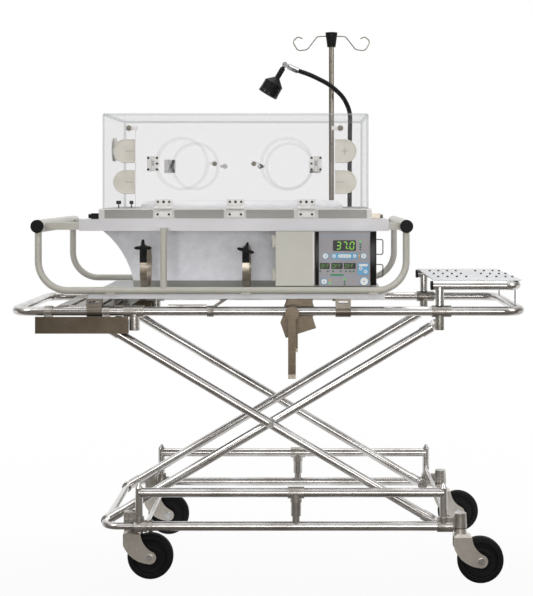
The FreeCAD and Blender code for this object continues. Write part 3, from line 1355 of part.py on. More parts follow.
def iv_pole():
    low = Vector(POLE_X, POLE_Y, POLE_LOW + RUN_GAP)
    return [rod(low, Vector(POLE_X, POLE_Y, HEAD_LOW), POLE_R)] + [hook(side) for side in (-1, 1)]


def hook(side):
    # a wire arm that drops, runs out and closes in a loop
    points = [Vector(POLE_X + side * HOOK_REACH * out, POLE_Y, HOOK_Z - HOOK_DROP * drop)
              for out, drop in HOOK_ROUTE]
    return bent_rod(points, HOOK_BENDS, HOOK_WIRE_R).cut(pole_head_solid())


def pole_head_solid():
    low = Vector(POLE_X, POLE_Y, HEAD_LOW)
    return Part.makeCone(HEAD_LOW_R, HEAD_TOP_R, HEAD_TOP - HEAD_LOW, low, UP)


def iv_pole_head():
    return [pole_head_solid()]


def vector(values):
    return Vector(*values)


def lamp_arm():
    points = [vector(p) for p in LAMP_ROUTE]
    radii = []
    for i in range(1, len(points) - 1):
        first = points[i - 1] - points[i]
        second = points[i + 1] - points[i]
        turn = math.pi - first.getAngle(second)
        shorter = min(first.Length, second.Length)
        radii.append(LAMP_BEND * shorter / math.tan(turn / 2))
    arm = bent_rod(points, radii, LAMP_ARM_R)
    end = points[-1]
    pivot = vector(LAMP_PIVOT)
    way = (pivot - end).normalize()
    ferrule = rod(end, pivot - way * (LAMP_BALL_R + CLEVIS_OUT - CLEVIS_IN), LAMP_FERRULE_R)
    turn = math.degrees(math.atan2(way.z, way.x)) + 180
    pieces = [arm, ferrule]
    for side in (-1, 1):
        y0, y1 = sorted((pivot.y + side * CLEVIS_IN, pivot.y + side * CLEVIS_OUT))
        pieces.append(rod(Vector(pivot.x, y0, pivot.z), Vector(pivot.x, y1, pivot.z), LAMP_BALL_R))
        ear = block(0, LAMP_BALL_R + CLEVIS_HALF, y0, y1, -CLEVIS_HALF, CLEVIS_HALF)
        ear = turned(ear, Vector(0, 0, 0), BACK, -turn)
        pieces.append(ear.translated(Vector(pivot.x, 0, pivot.z)))
    pieces.append(pin(pivot - BACK * CLEVIS_OUT, pivot + BACK * CLEVIS_OUT, LAMP_PIN_R))
    return [fuse(pieces)]


def lamp_head():
    pivot = vector(LAMP_PIVOT)
    way = vector(LAMP_AXIS).normalize()
    lug = rod(pivot - BACK * LUG_HALF, pivot + BACK * LUG_HALF, LUG_R)
    start = pivot + way * LAMP_NECK
    mouth = start + way * LAMP_HEAD
    cone_end = start + way * LAMP_HEAD * LAMP_CONE
    neck_top = pivot + way * (LAMP_BALL_R + CLEVIS_HALF)
    pieces = [lug, rod(pivot, start, LUG_NECK_R), rod(neck_top, start, LAMP_NECK_R)]
    pieces.append(Part.makeCone(LAMP_NECK_R, LAMP_HEAD_R, LAMP_HEAD * LAMP_CONE, start, way))
    pieces.append(rod(cone_end, mouth, LAMP_HEAD_R))
    whole = fuse(pieces)
    pitch = LAMP_HEAD * RIB_SPAN / LAMP_RIBS
    for i in range(LAMP_RIBS - 1):
        groove = start + way * (LAMP_HEAD * RIB_START + i * pitch)
        groove_end = groove + way * pitch * RIB_START
        whole = whole.cut(sleeve(groove, groove_end, LAMP_HEAD_R - RIB_DEPTH, LAMP_WALL))
    whole = whole.cut(rod(mouth - way * LAMP_BORE, mouth, LAMP_HEAD_R - LAMP_WALL))
    return [whole.cut(bore(pivot - BACK * LAMP_BALL_R, pivot + BACK * LAMP_BALL_R, LAMP_PIN_R + RUN_GAP))]


def hood_lock(x, sign):
    x0, x1 = sorted((x, x + sign * LOCK_LENGTH))
    z0, z1 = UPPER_Z1, UPPER_Z1 + LOCK_HALF * 2
    body = block(x0, x1, LOCK_Y - LOCK_HALF, LOCK_Y + LOCK_HALF, z0, z1)
    z = (z0 + z1) / 2
    start = Vector(x + sign * LOCK_LENGTH, LOCK_Y, z)
    knob = rod(start, start + RIGHT * sign * LOCK_HALF, LOCK_KNOB_R)
    return fuse([body, knob])


def hood_locks():
    return [hood_lock(HOOD_X0 - STRIP_OUT, -1), hood_lock(HOOD_X1 + STRIP_OUT, 1)]


def all_nodes():
    nodes = {
        "base_frame": base_frame(),
        "base_castings": base_castings(),
        "outer_legs": outer_legs(),
        "inner_legs": inner_legs(),
        "track_rollers": track_rollers(),
        "sliding_base_tube": sliding_base_tube(),
        "deck_frame": deck_frame(),
        "deck_fittings": deck_fittings(),
        "hold_down_clamps": hold_down_clamps(),
        "roller_tracks": roller_tracks(),
        "platform_plate": platform_plate(),
        "latch_plates": latch_plates(),
        "release_lever": release_lever(),
        "shelf_frame": shelf_frame(),
        "shelf_plate": shelf_plate(),
        "end_caps": end_caps(),
        "adapter_plate": adapter_plate(),
        "base_tray": base_tray(),
        "housing": housing(),
        "cage_frame": cage_frame(),
        "upper_deck": upper_deck(),
        "controller_case": controller_case(),
        "module_door": module_door(),
        "battery_pack": battery_pack(),
        "cable_bails": cable_bails(),
        "strap_clamps": strap_clamps(),
        "hood_shell": hood_shell(),
        "hood_base_strip": hood_base_strip(),
        "hood_hinge_leaves": hood_hinge_leaves(),
        "hood_locks": hood_locks(),
        "grommets": grommets(),
        "front_door": front_door(),
        "front_door_hinges": front_door_hinges(),
        "mattress_tray": mattress_tray(),
        "mattress": mattress(),
        "pole_socket": pole_socket(),
        "iv_pole": iv_pole(),
        "iv_pole_head": iv_pole_head(),
        "lamp_arm": lamp_arm(),
        "lamp_head": lamp_head(),
    }
    for name, (x, y, neck_top) in CASTERS.items():
        nodes["fork_" + name] = fork(x, y, neck_top)
        nodes["wheel_" + name] = wheel(x, y)
    for side, x, z, turn in zip(("left", "right"), STRAP_XS, KNOB_ZS, KNOB_TURN):
        nodes["star_knob_" + side] = star_knob(x, z, turn)
    for side, x, sign in zip(("left", "right"), LATCH_XS, (1, -1)):
        nodes["door_latch_" + side] = door_latch(x, sign)
    for side, x, sign in zip(("left", "right"), PORT_X, (1, -1)):
        for wall, y_sign in (("front", -1), ("rear", 1)):
            nodes[f"port_door_{wall}_{side}"] = port_door(x, sign, y_sign)
            nodes[f"port_latch_{wall}_{side}"] = port_latch(x, sign, y_sign)
    return nodes


os.makedirs("parts", exist_ok=True)
for node, solids in all_nodes().items():
    shape = solids[0] if len(solids) == 1 else Part.makeCompound(solids)
    shape.exportStep(f"parts/{node}.step")
    print(node, len(shape.Solids), shape.isValid(), round(shape.Volume / 1000, 1))
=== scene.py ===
import math

import bmesh
import bpy
from mathutils import Matrix, Vector


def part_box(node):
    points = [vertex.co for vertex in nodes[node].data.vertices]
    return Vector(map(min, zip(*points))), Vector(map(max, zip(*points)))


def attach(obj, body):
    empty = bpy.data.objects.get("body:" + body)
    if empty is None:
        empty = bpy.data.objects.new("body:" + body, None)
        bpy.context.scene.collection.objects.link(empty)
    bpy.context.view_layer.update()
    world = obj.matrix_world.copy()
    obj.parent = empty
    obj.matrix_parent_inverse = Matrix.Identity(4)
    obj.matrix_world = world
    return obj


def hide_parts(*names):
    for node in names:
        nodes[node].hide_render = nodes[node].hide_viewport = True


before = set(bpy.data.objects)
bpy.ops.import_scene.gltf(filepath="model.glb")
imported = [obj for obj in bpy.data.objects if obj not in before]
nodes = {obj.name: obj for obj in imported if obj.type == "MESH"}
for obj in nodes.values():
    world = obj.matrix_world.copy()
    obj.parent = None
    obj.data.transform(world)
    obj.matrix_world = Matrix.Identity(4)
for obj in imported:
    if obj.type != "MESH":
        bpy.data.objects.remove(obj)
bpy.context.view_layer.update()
print("frame loaded:", len(nodes), "CAD nodes")

right, back, up = Vector((1, 0, 0)), Vector((0, 1, 0)), Vector((0, 0, 1))
front = -back


# camera: image size and focal length in pixels, place in metres

cameraView = {
    "image": (533, 596),
    "middle": (310, 189),      # the pixel that the lens looks straight at
    "focal": 1259,
    "place": (0.116, -3.700, 1.0746),
    "sensor": 36,
}


def addCamera():
    width, height = cameraView["image"]
    camera = bpy.data.cameras.new("camera")
    camera.sensor_width = cameraView["sensor"]
    camera.lens = cameraView["sensor"] * cameraView["focal"] / height
    camera.shift_x = (width / 2 - cameraView["middle"][0]) / height
    camera.shift_y = (cameraView["middle"][1] - height / 2) / height
    rig = bpy.data.objects.new("camera", camera)
    rig.location = cameraView["place"]
    rig.rotation_euler = (math.pi / 2, 0, 0)
    bpy.context.scene.collection.objects.link(rig)
    bpy.context.scene.camera = rig


addCamera()
bpy.context.scene.view_settings.view_transform = "Standard"


# shaders

class Wire:
    # a socket that takes part in plain arithmetic
    def __init__(self, finish, socket):
        self.finish = finish
        self.socket = socket

    def maths(self, operation, first, second=0.0):
        return self.finish.node("Math", {"operation": operation}, {0: first, 1: second})

    def __add__(self, other):
        return self.maths("ADD", self, other)

    def __radd__(self, other):
        return self.maths("ADD", other, self)

    def __sub__(self, other):
        return self.maths("SUBTRACT", self, other)

    def __rsub__(self, other):
        return self.maths("SUBTRACT", other, self)

    def __mul__(self, other):
        return self.maths("MULTIPLY", self, other)

    def __rmul__(self, other):
        return self.maths("MULTIPLY", other, self)

    def __pow__(self, other):
        return self.maths("POWER", self, other)

    def __abs__(self):
        return self.maths("ABSOLUTE", self)


class Finish:
    # the node tree of one material, or of the world
    def __init__(self, name, owner=None):
        self.material = owner or bpy.data.materials.new(name)
        self.material.use_nodes = True
        self.tree = self.material.node_tree
        self.tree.nodes.clear()

    def node(self, kind, settings=None, values=None, output=0):
        made = self.tree.nodes.new("ShaderNode" + kind)
        for key, value in (settings or {}).items():
            if key == "stops":
                setStops(made.color_ramp, value)
            else:
                setattr(made, key, value)
        for key, value in (values or {}).items():
            if isinstance(value, Wire):
                self.tree.links.new(value.socket, made.inputs[key])
            else:
                made.inputs[key].default_value = value
        return Wire(self, made.outputs[output]) if made.outputs else made

    def place(self, stretch=(1, 1, 1)):
        spot = self.node("TexCoord", output=3)
        return self.node("Mapping", values={"Vector": spot, "Scale": stretch})

    def noise(self, scale, detail=4, stretch=(1, 1, 1), rough=0.5):
        values = {"Vector": self.place(stretch), "Scale": scale, "Detail": detail, "Roughness": rough}
        return self.node("TexNoise", values=values)

    def between(self, mask, low, high):
        # the mask of 0 to 1, spread from low to high
        return self.node("MapRange", values={"Value": mask, "From Min": low, "From Max": high})

    def tint(self, mask, first, second, blend="MIX"):
        values = {0: mask, 6: first, 7: second}
        return self.node("Mix", {"data_type": "RGBA", "blend_type": blend}, values, output=2)

    def bump(self, height, strength, distance):
        return self.node("Bump", values={"Height": height, "Strength": strength, "Distance": distance})

    def surface(self, shader):
        kind = "OutputWorld" if self.material.id_type == "WORLD" else "OutputMaterial"
        self.node(kind, values={"Surface": shader})
        return self.material

    def gloss(self, values):
        return self.surface(self.node("BsdfPrincipled", values=values))


def setStops(ramp, stops):
    while len(ramp.elements) < len(stops):
        ramp.elements.new(1)
    for element, (place, colour) in zip(ramp.elements, stops):
        element.position = place
        element.color = colour


def screen(red, green, blue):
    # a colour as a screen shows it, 0 to 255, turned into light values
    parts = []
    for part in (red, green, blue):
        value = part / 255
        parts.append(value / 12.92 if value <= 0.04045 else ((value + 0.055) / 1.055) ** 2.4)
    return (*parts, 1)


def polishedTube(name, bright, dark, rough=0.16, stretch=(0.4, 3, 3), soil=0.45):
    # drawn tube: soft darker clouds, fine scratches, a little grime in patches
    finish = Finish(name)
    clouds = finish.between(finish.noise(9, 3), 0.38, 0.72)
    scratches = finish.noise(26, 2, stretch)
    grime = finish.between(finish.noise(45, 5, rough=0.7), 0.56, 0.75)
    colour = finish.tint(clouds, screen(*bright), screen(*dark))
    worn = finish.tint(grime * soil, colour, screen(*[part * 0.62 for part in dark]))
    return finish.gloss({
        "Base Color": worn,
        "Metallic": 1.0,
        "Roughness": rough + 0.07 * scratches + 0.1 * grime,
        "Normal": finish.bump(scratches, 0.003, 0.0004),
    })


def castMetal():
    finish = Finish("castMetal")
    clouds = finish.between(finish.noise(30, 4), 0.35, 0.7)
    grain = finish.noise(900, 2)
    return finish.gloss({
        "Base Color": finish.tint(clouds, screen(196, 193, 188), screen(138, 133, 126)),
        "Metallic": 0.92,
        "Roughness": 0.24 + 0.2 * clouds,
        "Normal": finish.bump(grain, 0.15, 0.0004),
    })


def brushedSheet(name, bright, dark, stretch=(2, 40, 40)):
    finish = Finish(name)
    lines = finish.noise(34, 5, stretch, 0.65)
    clouds = finish.noise(12, 3)
    mask = finish.between(lines * 0.6 + clouds * 0.4, 0.32, 0.68)
    return finish.gloss({
        "Base Color": finish.tint(mask, screen(*bright), screen(*dark)),
        "Metallic": 0.92,
        "Roughness": 0.24 + 0.18 * lines,
        "Normal": finish.bump(lines, 0.12, 0.0003),
    })


def enamel(name, colour, shade, rough=0.34, grainSize=700, grain=0.06):
    # sprayed paint: faint cloudiness and an orange-peel surface
    finish = Finish(name)
    clouds = finish.between(finish.noise(7, 4), 0.35, 0.75)
    peel = finish.noise(grainSize, 2)
    return finish.gloss({
        "Base Color": finish.tint(clouds, screen(*colour), screen(*shade)),
        "Roughness": rough + 0.08 * clouds,
        "Normal": finish.bump(peel, grain, 0.0006),
        "Coat Weight": 0.15,
    })


def mouldedBlack(name, tone=22, rough=0.42, grain=0.12):
    finish = Finish(name)
    dust = finish.between(finish.noise(60, 4), 0.55, 0.8)
    pebble = finish.noise(1400, 2)
    return finish.gloss({
        "Base Color": finish.tint(dust, screen(tone, tone, tone + 1), screen(tone + 10, tone + 9, tone + 9)),
        "Roughness": rough + 0.12 * pebble,
        "Normal": finish.bump(pebble, grain, 0.0005),
        "Specular IOR Level": 0.22,
    })


def mottledHousing():
    # lilac-grey moulding with faint blotches
    finish = Finish("mottledHousing")
    blotch = finish.between(finish.noise(38, 5, rough=0.7), 0.4, 0.7)
    fine = finish.noise(1100, 2)
    return finish.gloss({
        "Base Color": finish.tint(blotch, screen(238, 238, 243), screen(224, 224, 230)),
        "Roughness": 0.3 + 0.1 * blotch,
        "Normal": finish.bump(fine, 0.07, 0.0005),
        "Coat Weight": 0.2,
    })


def softSilicone():
    finish = Finish("softSilicone")
    clouds = finish.between(finish.noise(25, 3), 0.4, 0.7)
    return finish.gloss({
        "Base Color": finish.tint(clouds, screen(217, 214, 205), screen(207, 203, 193)),
        "Roughness": 0.55 + 0.08 * clouds,
        "Normal": finish.bump(finish.noise(800, 2), 0.1, 0.0005),
    })


def coverCloth():
    # fine white weave of the wipe-clean cover
    finish = Finish("coverCloth")
    values = {"Vector": finish.place(), "Scale": 420, "Distortion": 0.6}
    weave = finish.node("TexWave", {"wave_type": "BANDS", "bands_direction": "X"}, values)
    cross = finish.node("TexWave", {"wave_type": "BANDS", "bands_direction": "Y"}, values)
    clouds = finish.between(finish.noise(14, 4), 0.4, 0.75)
    return finish.gloss({
        "Base Color": finish.tint(clouds, screen(243, 243, 244), screen(228, 228, 231)),
        "Roughness": 0.66 + 0.1 * clouds,
        "Normal": finish.bump(weave * cross, 0.2, 0.0005),
    })


def clearAcrylic(name, haze, tone, milk=(236, 239, 243)):
    # see-through with a faint haze that thickens at a glancing angle, and a mirror-like skin
    finish = Finish(name)
    glance = finish.node("LayerWeight", values={"Blend": 0.32}, output=1)
    smear = finish.between(finish.noise(5, 4), 0.4, 0.8)
    through = finish.node("BsdfTransparent", values={"Color": screen(*tone)})
    milky = finish.node("BsdfPrincipled", values={"Base Color": screen(*milk), "Roughness": 0.06})
    lit = 1 - finish.node("LightPath", output="Is Shadow Ray")
    fog = (haze + haze * smear + 0.16 * glance ** 3) * lit
    return finish.surface(finish.node("MixShader", values={0: fog, 1: through, 2: milky}))


def glowing(name, colour, strength, base=(10, 12, 10)):
    # a lit segment or lamp behind a tinted window, unevenly bright
    finish = Finish(name)
    uneven = finish.between(finish.noise(240, 2), 0.2, 0.7)
    return finish.gloss({
        "Base Color": screen(*base),
        "Roughness": 0.3,
        "Emission Color": finish.tint(uneven, screen(*[part * 0.86 for part in colour]), screen(*colour)),
        "Emission Strength": strength,
    })


finishes = {
    "tube": polishedTube("polishedTube", (218, 217, 216), (174, 170, 166), 0.17, (0.4, 3, 3), 0.3),
    "pole": polishedTube("poleSteel", (156, 150, 141), (132, 125, 114), 0.26, (3, 3, 0.1), 0.08),
    "wire": polishedTube("wireSteel", (150, 144, 134), (112, 105, 94), 0.22),
    "bright": polishedTube("brightSteel", (232, 232, 234), (196, 196, 200), 0.12),
    "cast": castMetal(),
    # brushed stainless of the tracks, latch plates and lever: its own grey, darkened to brown as partly
    # painted reflection of the brown room around it
    "sheet": brushedSheet("sheetWithBrownReflection", (122, 111, 97), (82, 73, 61)),
    "toe": brushedSheet("toeSheet", (196, 186, 172), (158, 148, 134)),
    "clamp": brushedSheet("clampSteel", (146, 140, 131), (98, 91, 82)),
    "caster": brushedSheet("casterSteel", (230, 225, 218), (182, 176, 168), (30, 30, 3)),
    "band": brushedSheet("bandSteel", (214, 205, 190), (122, 110, 94), (2, 2, 26)),
    "beige": enamel("beigePaint", (188, 186, 177), (176, 174, 165)),
    "cover": enamel("coverBeige", (196, 195, 185), (186, 185, 175), 0.42),
    "whiteDeck": enamel("deckWhite", (209, 208, 211), (199, 198, 201), 0.3),
    # the base tray's beige paint drawn darker and greyer, as it looks in the shade under the housing: painted
    # shade
    "shadedTrayPaint": enamel("shadedTrayPaint", (164, 164, 158), (146, 146, 141), 0.4),
    "shelf": enamel("shelfWhite", (216, 217, 220), (204, 205, 209), 0.36),
    "plate": enamel("plateGrey", (138, 135, 126), (112, 109, 101), 0.38),
    "strip": enamel("stripGrey", (206, 205, 202), (194, 192, 189), 0.4),
    "label": enamel("labelGrey", (150, 148, 145), (138, 136, 133), 0.5, 1500, 0.2),
    "white": enamel("whitePlastic", (228, 227, 225), (218, 217, 215), 0.34),
    "stud": enamel("studBronze", (134, 128, 116), (100, 95, 84), 0.3, 1500, 0.3),
    "panel": enamel("panelGrey", (152, 149, 153), (145, 142, 147), 0.44),
    "blueLine": enamel("panelBlueLine", (126, 160, 196), (112, 148, 186), 0.44),
    "blueKey": enamel("panelBlueKey", (86, 166, 208), (72, 152, 198), 0.4),
    "keyWhite": enamel("panelWhiteKey", (232, 232, 228), (222, 222, 218), 0.4),
    "greenBar": enamel("panelGreenBar", (16, 134, 84), (12, 120, 74), 0.4),
    "darkLamp": glowing("darkLamp", (10, 92, 58), 0.5, (8, 70, 44)),
    "greenLamp": glowing("greenLamp", (84, 232, 70), 1.0),
    "amberLamp": glowing("amberLamp", (222, 168, 20), 1.0),
    "digit": glowing("digitGreen", (132, 210, 44), 1.0),
    "dimDigit": glowing("digitDim", (84, 150, 36), 0.9),
    "window": mouldedBlack("displayWindow", 18, 0.14, 0.02),
    "housing": mottledHousing(),
    "black": mouldedBlack("blackPlastic", 10, 0.46),
    "gloss": mouldedBlack("glossBlack", 14, 0.2, 0.04),
    "tyre": mouldedBlack("tyreRubber", 7, 0.62, 0.3),
    "hub": mouldedBlack("hubBlack", 10, 0.36, 0.08),
    "screw": mouldedBlack("screwDark", 40, 0.3, 0.05),
    "rubber": mouldedBlack("gooseneckSkin", 22, 0.3, 0.1),
    "silicone": softSilicone(),
    # painted shade inside the grommets' slits
    "slit": enamel("slitShade", (176, 172, 160), (164, 160, 148), 0.7),
    "cloth": coverCloth(),
    "lens": clearAcrylic("lampLens", 0.5, (230, 232, 236), (214, 218, 226)),
    "acrylic": clearAcrylic("clearAcrylic", 0.015, (250, 249.7, 249.8)),
    "acrylicRim": clearAcrylic("acrylicRim", 0.2, (219, 221, 222), (208, 210, 212)),
    "acrylicEdge": clearAcrylic("acrylicEdge", 0.08, (241, 242, 243), (220, 221, 223)),
}
print("finishes made:", len(finishes))


# CAD nodes that keep their own shape get a finish and smooth shading

nodeFinish = {
    "tube": ("base_frame", "outer_legs", "inner_legs", "sliding_base_tube", "deck_frame", "shelf_frame"),
    "cast": ("base_castings", "deck_fittings"),
    "clamp": ("hold_down_clamps",),
    "sheet": ("roller_tracks", "latch_plates", "release_lever"),
    "plate": ("platform_plate",),
    "shelf": ("adapter_plate", "shelf_plate"),
    # the tray carries the beige paint darkened as painted shade
    "shadedTrayPaint": ("base_tray",),
    "housing": ("housing",),
    "beige": ("cage_frame",),
    "whiteDeck": ("upper_deck",),
    "panel": ("controller_case",),
    "cover": ("module_door",),
    "band": ("strap_clamps",),
    "wire": ("cable_bails",),
    "acrylic": ("hood_shell", "front_door", "port_door_front_left", "port_door_front_right",
                "port_door_rear_left", "port_door_rear_right"),
    "strip": ("hood_base_strip", "pole_socket"),
    "white": ("hood_hinge_leaves", "front_door_hinges", "mattress_tray", "port_latch_front_left",
              "port_latch_front_right", "port_latch_rear_left", "port_latch_rear_right", "door_latch_left",
              "door_latch_right"),
    "silicone": ("grommets",),
    "cloth": ("mattress",),
    "pole": ("iv_pole",),
    "rubber": ("lamp_arm",),
    "black": ("track_rollers", "end_caps", "battery_pack", "hood_locks", "iv_pole_head", "lamp_head",
              "star_knob_left", "star_knob_right"),
    "caster": ("fork_front_left", "fork_front_right", "fork_rear_left", "fork_rear_right"),
    "tyre": ("wheel_front_left", "wheel_front_right", "wheel_rear_left", "wheel_rear_right"),
}


def smoothByAngle(mesh, degrees):
    mesh.polygons.foreach_set("use_smooth", [True] * len(mesh.polygons))
    mesh.set_sharp_from_angle(angle=math.radians(degrees))


def dressNode(name, finish):
    mesh = nodes[name].data
    mesh.materials.clear()
    mesh.materials.append(finishes[finish])
    smoothByAngle(mesh, 32)


def dressPart(name, finish, wanted):
    # a second finish for the faces that the test picks, from their middle and normal in millimetres
    mesh = nodes[name].data
    mesh.materials.append(finishes[finish])
    index = len(mesh.materials) - 1
    for face in mesh.polygons:
        if wanted(face.center * 1000, face.normal):
            face.material_index = index


for finishName, members in nodeFinish.items():
    for member in members:
        dressNode(member, finishName)


# clear walls: every narrow edge shows the milky tone of cut acrylic

hoodWalls = {
    "panes": ((-461, -455, 273, 279), (-206, -200, 200, 206), (1279.5, 1285.5)),
    "portPanes": (-211.2, -207.2, 207.2, 211.2),
    "slack": 0.2,
    "square": 0.98,       # least share of a normal along an axis for a face of a pane
}


def liesOn(value, planes):
    return any(abs(value - plane) < hoodWalls["slack"] for plane in planes)


def isRim(middle, normal):
    for axis, planes in enumerate(hoodWalls["panes"]):
        if abs(normal[axis]) > hoodWalls["square"]:
            return not liesOn(middle[axis], planes)
    return True


def isPortRim(middle, normal):
    return not (abs(normal.y) > hoodWalls["square"] and liesOn(middle.y, hoodWalls["portPanes"]))


for member in ("hood_shell", "front_door"):
    dressPart(member, "acrylicRim", isRim)
for member in nodeFinish["acrylic"][2:]:
    dressPart(member, "acrylicEdge", isPortRim)


# where a second finish starts on a CAD node, in millimetres

partings = {
    "leverToe": 571.5,
    "ferrule": (77, 1436),            # X and Z of the gooseneck's bright end
    "bezel": (130, -239),             # X and Y of the controller's grey face
    "moduleKnuckles": 30,
    "shelf": ((456, 697), 239),       # inside the outer edges, so only the holes' walls are left; these are drawn black as painted shade
}


def isShadedHoleWall(middle, normal):
    (low, high), half = partings["shelf"]
    return abs(normal.z) < 0.5 and low < middle.x < high and abs(middle.y) < half


def isCase(middle, normal):
    x, y = partings["bezel"]
    return middle.y > y or middle.x < x


def isModuleKnuckle(middle, normal):
    return middle.x < partings["moduleKnuckles"] and middle.y < partings["bezel"][1]


def isFerrule(middle, normal):
    x, z = partings["ferrule"]
    return middle.z > z and middle.x < x


dressPart("release_lever", "toe", lambda middle, normal: middle.z < partings["leverToe"])
dressPart("hood_locks", "wire", lambda middle, normal: middle.x > 0)
dressPart("lamp_arm", "bright", isFerrule)
dressPart("controller_case", "black", isCase)
# the shelf's hole walls are drawn black: painted shade for the dark inside of each hole
dressPart("shelf_plate", "black", isShadedHoleWall)
dressPart("controller_case", "cover", isModuleKnuckle)
print("CAD nodes dressed")


# mesh work, in millimetres

def fullTurn(steps):
    return [2 * math.pi * i / steps for i in range(steps)]


class Shape:
    # a mesh in the making
    def __init__(self):
        self.mesh = bmesh.new()

    def skin(self, loops, ring=False):
        rows = [[self.mesh.verts.new(point) for point in loop] for loop in loops]
        pairs = list(zip(rows, rows[1:])) + ([(rows[-1], rows[0])] if ring else [])
        count = len(rows[0])
        for first, second in pairs:
            for i in range(count):
                after = (i + 1) % count
                self.mesh.faces.new((first[i], first[after], second[after], second[i]))
        if not ring:
            self.mesh.faces.new(rows[0][::-1])
            self.mesh.faces.new(rows[-1])
        return self

    def lathe(self, start, way, profile, sides=32, ring=False):
        # profile: how far along the way, and the radius there
        way = Vector(way).normalized()
        side = way.orthogonal().normalized()
        other = way.cross(side)
        spokes = [side * math.cos(turn) + other * math.sin(turn) for turn in fullTurn(sides)]
        loops = [[Vector(start) + way * along + spoke * radius for spoke in spokes]
                 for along, radius in profile]
        return self.skin(loops, ring)

    def tube(self, points, radius, sides=12, closed=False):
        points = [Vector(point) for point in points]
        last = len(points) - 1
        normal = None
        loops = []
        for i, point in enumerate(points):
            before = points[i - 1] if i or closed else point
            after = points[(i + 1) % (last + 1)] if i < last or closed else point
            way = (after - before).normalized()
            normal = normal or way.orthogonal()
            normal = (normal - way * normal.dot(way)).normalized()
            other = way.cross(normal)
            loops.append([point + (normal * math.cos(turn) + other * math.sin(turn)) * radius
                          for turn in fullTurn(sides)])
        return self.skin(loops, closed)

    def box(self, low, high, soften=0.0, steps=2):
        low, high = Vector(low), Vector(high)
        spread = Matrix.Translation((low + high) / 2) @ Matrix.Diagonal((*(high - low), 1))
        made = bmesh.ops.create_cube(self.mesh, size=1, matrix=spread)
        if soften:
            edges = list({edge for corner in made["verts"] for edge in corner.link_edges})
            bmesh.ops.bevel(self.mesh, geom=edges, offset=soften, segments=steps, profile=0.5, affect="EDGES")
        return self

    def plate(self, outline, rear, face, soften=0.0):
        # an outline in X and Z pulled forward from rear to face, its front edge softened
        middle = Vector((sum(x for x, z in outline), 0, sum(z for x, z in outline))) / len(outline)
        step = math.copysign(soften, rear - face)
        corners = [Vector((x, 0, z)) for x, z in outline]
        small = [corner + (middle - corner).normalized() * soften for corner in corners]
        loops = [[corner + back * rear for corner in corners],
                 [corner + back * (face + step) for corner in corners]]
        if soften:
            loops.append([corner + back * face for corner in small])
        return self.skin(loops)

    def piece(self, name, body, finish, slot, stands=(), smooth=40):
        bmesh.ops.remove_doubles(self.mesh, verts=self.mesh.verts, dist=0.0005)
        bmesh.ops.recalc_face_normals(self.mesh, faces=self.mesh.faces)
        bmesh.ops.scale(self.mesh, vec=(0.001, 0.001, 0.001), verts=self.mesh.verts)
        mesh = bpy.data.meshes.new(name)
        self.mesh.to_mesh(mesh)
        self.mesh.free()
        return settle(name, mesh, body, finish, stands, smooth)


def settle(name, mesh, body, finish, stands=(), smooth=40):
    mesh.materials.clear()
    mesh.materials.append(finishes[finish])
    smoothByAngle(mesh, smooth)
    made = bpy.data.objects.new(name, mesh)
    bpy.context.scene.collection.objects.link(made)
    if stands:
        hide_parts(*stands)
    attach(made, body)
    return made


def roundRect(x0, x1, z0, z1, radius, steps=5):
    points = []
    for x, z, turn in ((x1, z1, 0), (x0, z1, 90), (x0, z0, 180), (x1, z0, 270)):
        middleX = x + (radius if x == x0 else -radius)
        middleZ = z + (radius if z == z0 else -radius)
        for i in range(steps + 1):
            angle = math.radians(turn + 90 * i / steps)
            points.append((middleX + radius * math.cos(angle), middleZ + radius * math.sin(angle)))
    return points


def roundDisc(x, z, radius, steps=28):
    return [(x + radius * math.cos(turn), z + radius * math.sin(turn)) for turn in fullTurn(steps)]


# controller face: millimetres in X and Z, on the pocket's floor

panelFace = {
    "floor": -244.0,
    "bezel": -246.0,
    "lines": (947.3, 877.9, 834.3),
    "lineEnds": (142.4, 281.2),
    "lineHalf": 0.55,
    "columns": ((130.4, 140.4), (281.4, 297.6)),
    "columnEnds": (810.0, 957.5),
    "mainWindow": (179, 242, 905, 934),
    "smallWindows": ((142.6, 170, 855.2, 871.6), (174.7, 205.4, 855.2, 871.6), (209.3, 241.4, 855.2, 871.6)),
    "smallLamps": (144.0, 164.8, 179.4, 200.5, 215.0, 225.7, 235.9),
    "smallLampZ": 848.6,
    "bluePanel": (246.8, 277.6, 839.3, 871.6),
    "greenBar": (172, 208.2, 836.0, 841.2),
    "group": (174.7, 247.4, 882.5, 898.5),
    "roundFields": ((158.2, 890.5, 9.0), (263.3, 890.5, 8.6), (264.4, 821.1, 12.4)),
    "roundKeys": ((158.2, 890.5, 7.2), (263.3, 890.5, 7.0), (182.1, 890.5, 4.8), (238.6, 890.5, 4.8),
                  (264.4, 821.1, 10.6), (255.4, 856.0, 4.8), (268.6, 848.0, 4.8)),
    "wideKeys": ((192.8, 228.7, 885.9, 895.1, 4.2, 1.4, 0.5), (250.4, 274.0, 862.4, 868.6, 2, 1.3, 0.4)),
    "keyDot": 2.1,
    "keyBars": ((200, 207, 214, 221), 890.5, 2.2),
    "alarmColumn": (254.2, (930.9, 923.2, 915.8, 908.4)),
    "lowColumn": (210.6, (826.9, 820.6, 814.0)),
    "lowGreen": (171.4, 815.9),
    "squareKey": (154.7, 820.6),
    "amber": ((250.7, 890.5), (171.4, 824.7)),
    "lamp": ((0, 2.4), (0.5, 2.4), (1.1, 1.9), (1.4, 1.0)),
    "figures": ("37.0", 188.5, 909.5, 19.5),
    "words": ("OFF", 3.2, 3.4, 9.4),          # places within a small window
    "doorEdge": ((123.5, -246.6, 812.5), (127.5, -245.2, 955.5)),
}

strokes = {
    "0": "abcdef", "3": "abcdg", "7": "abc", "F": "aefg", "O": "abcdef",
}


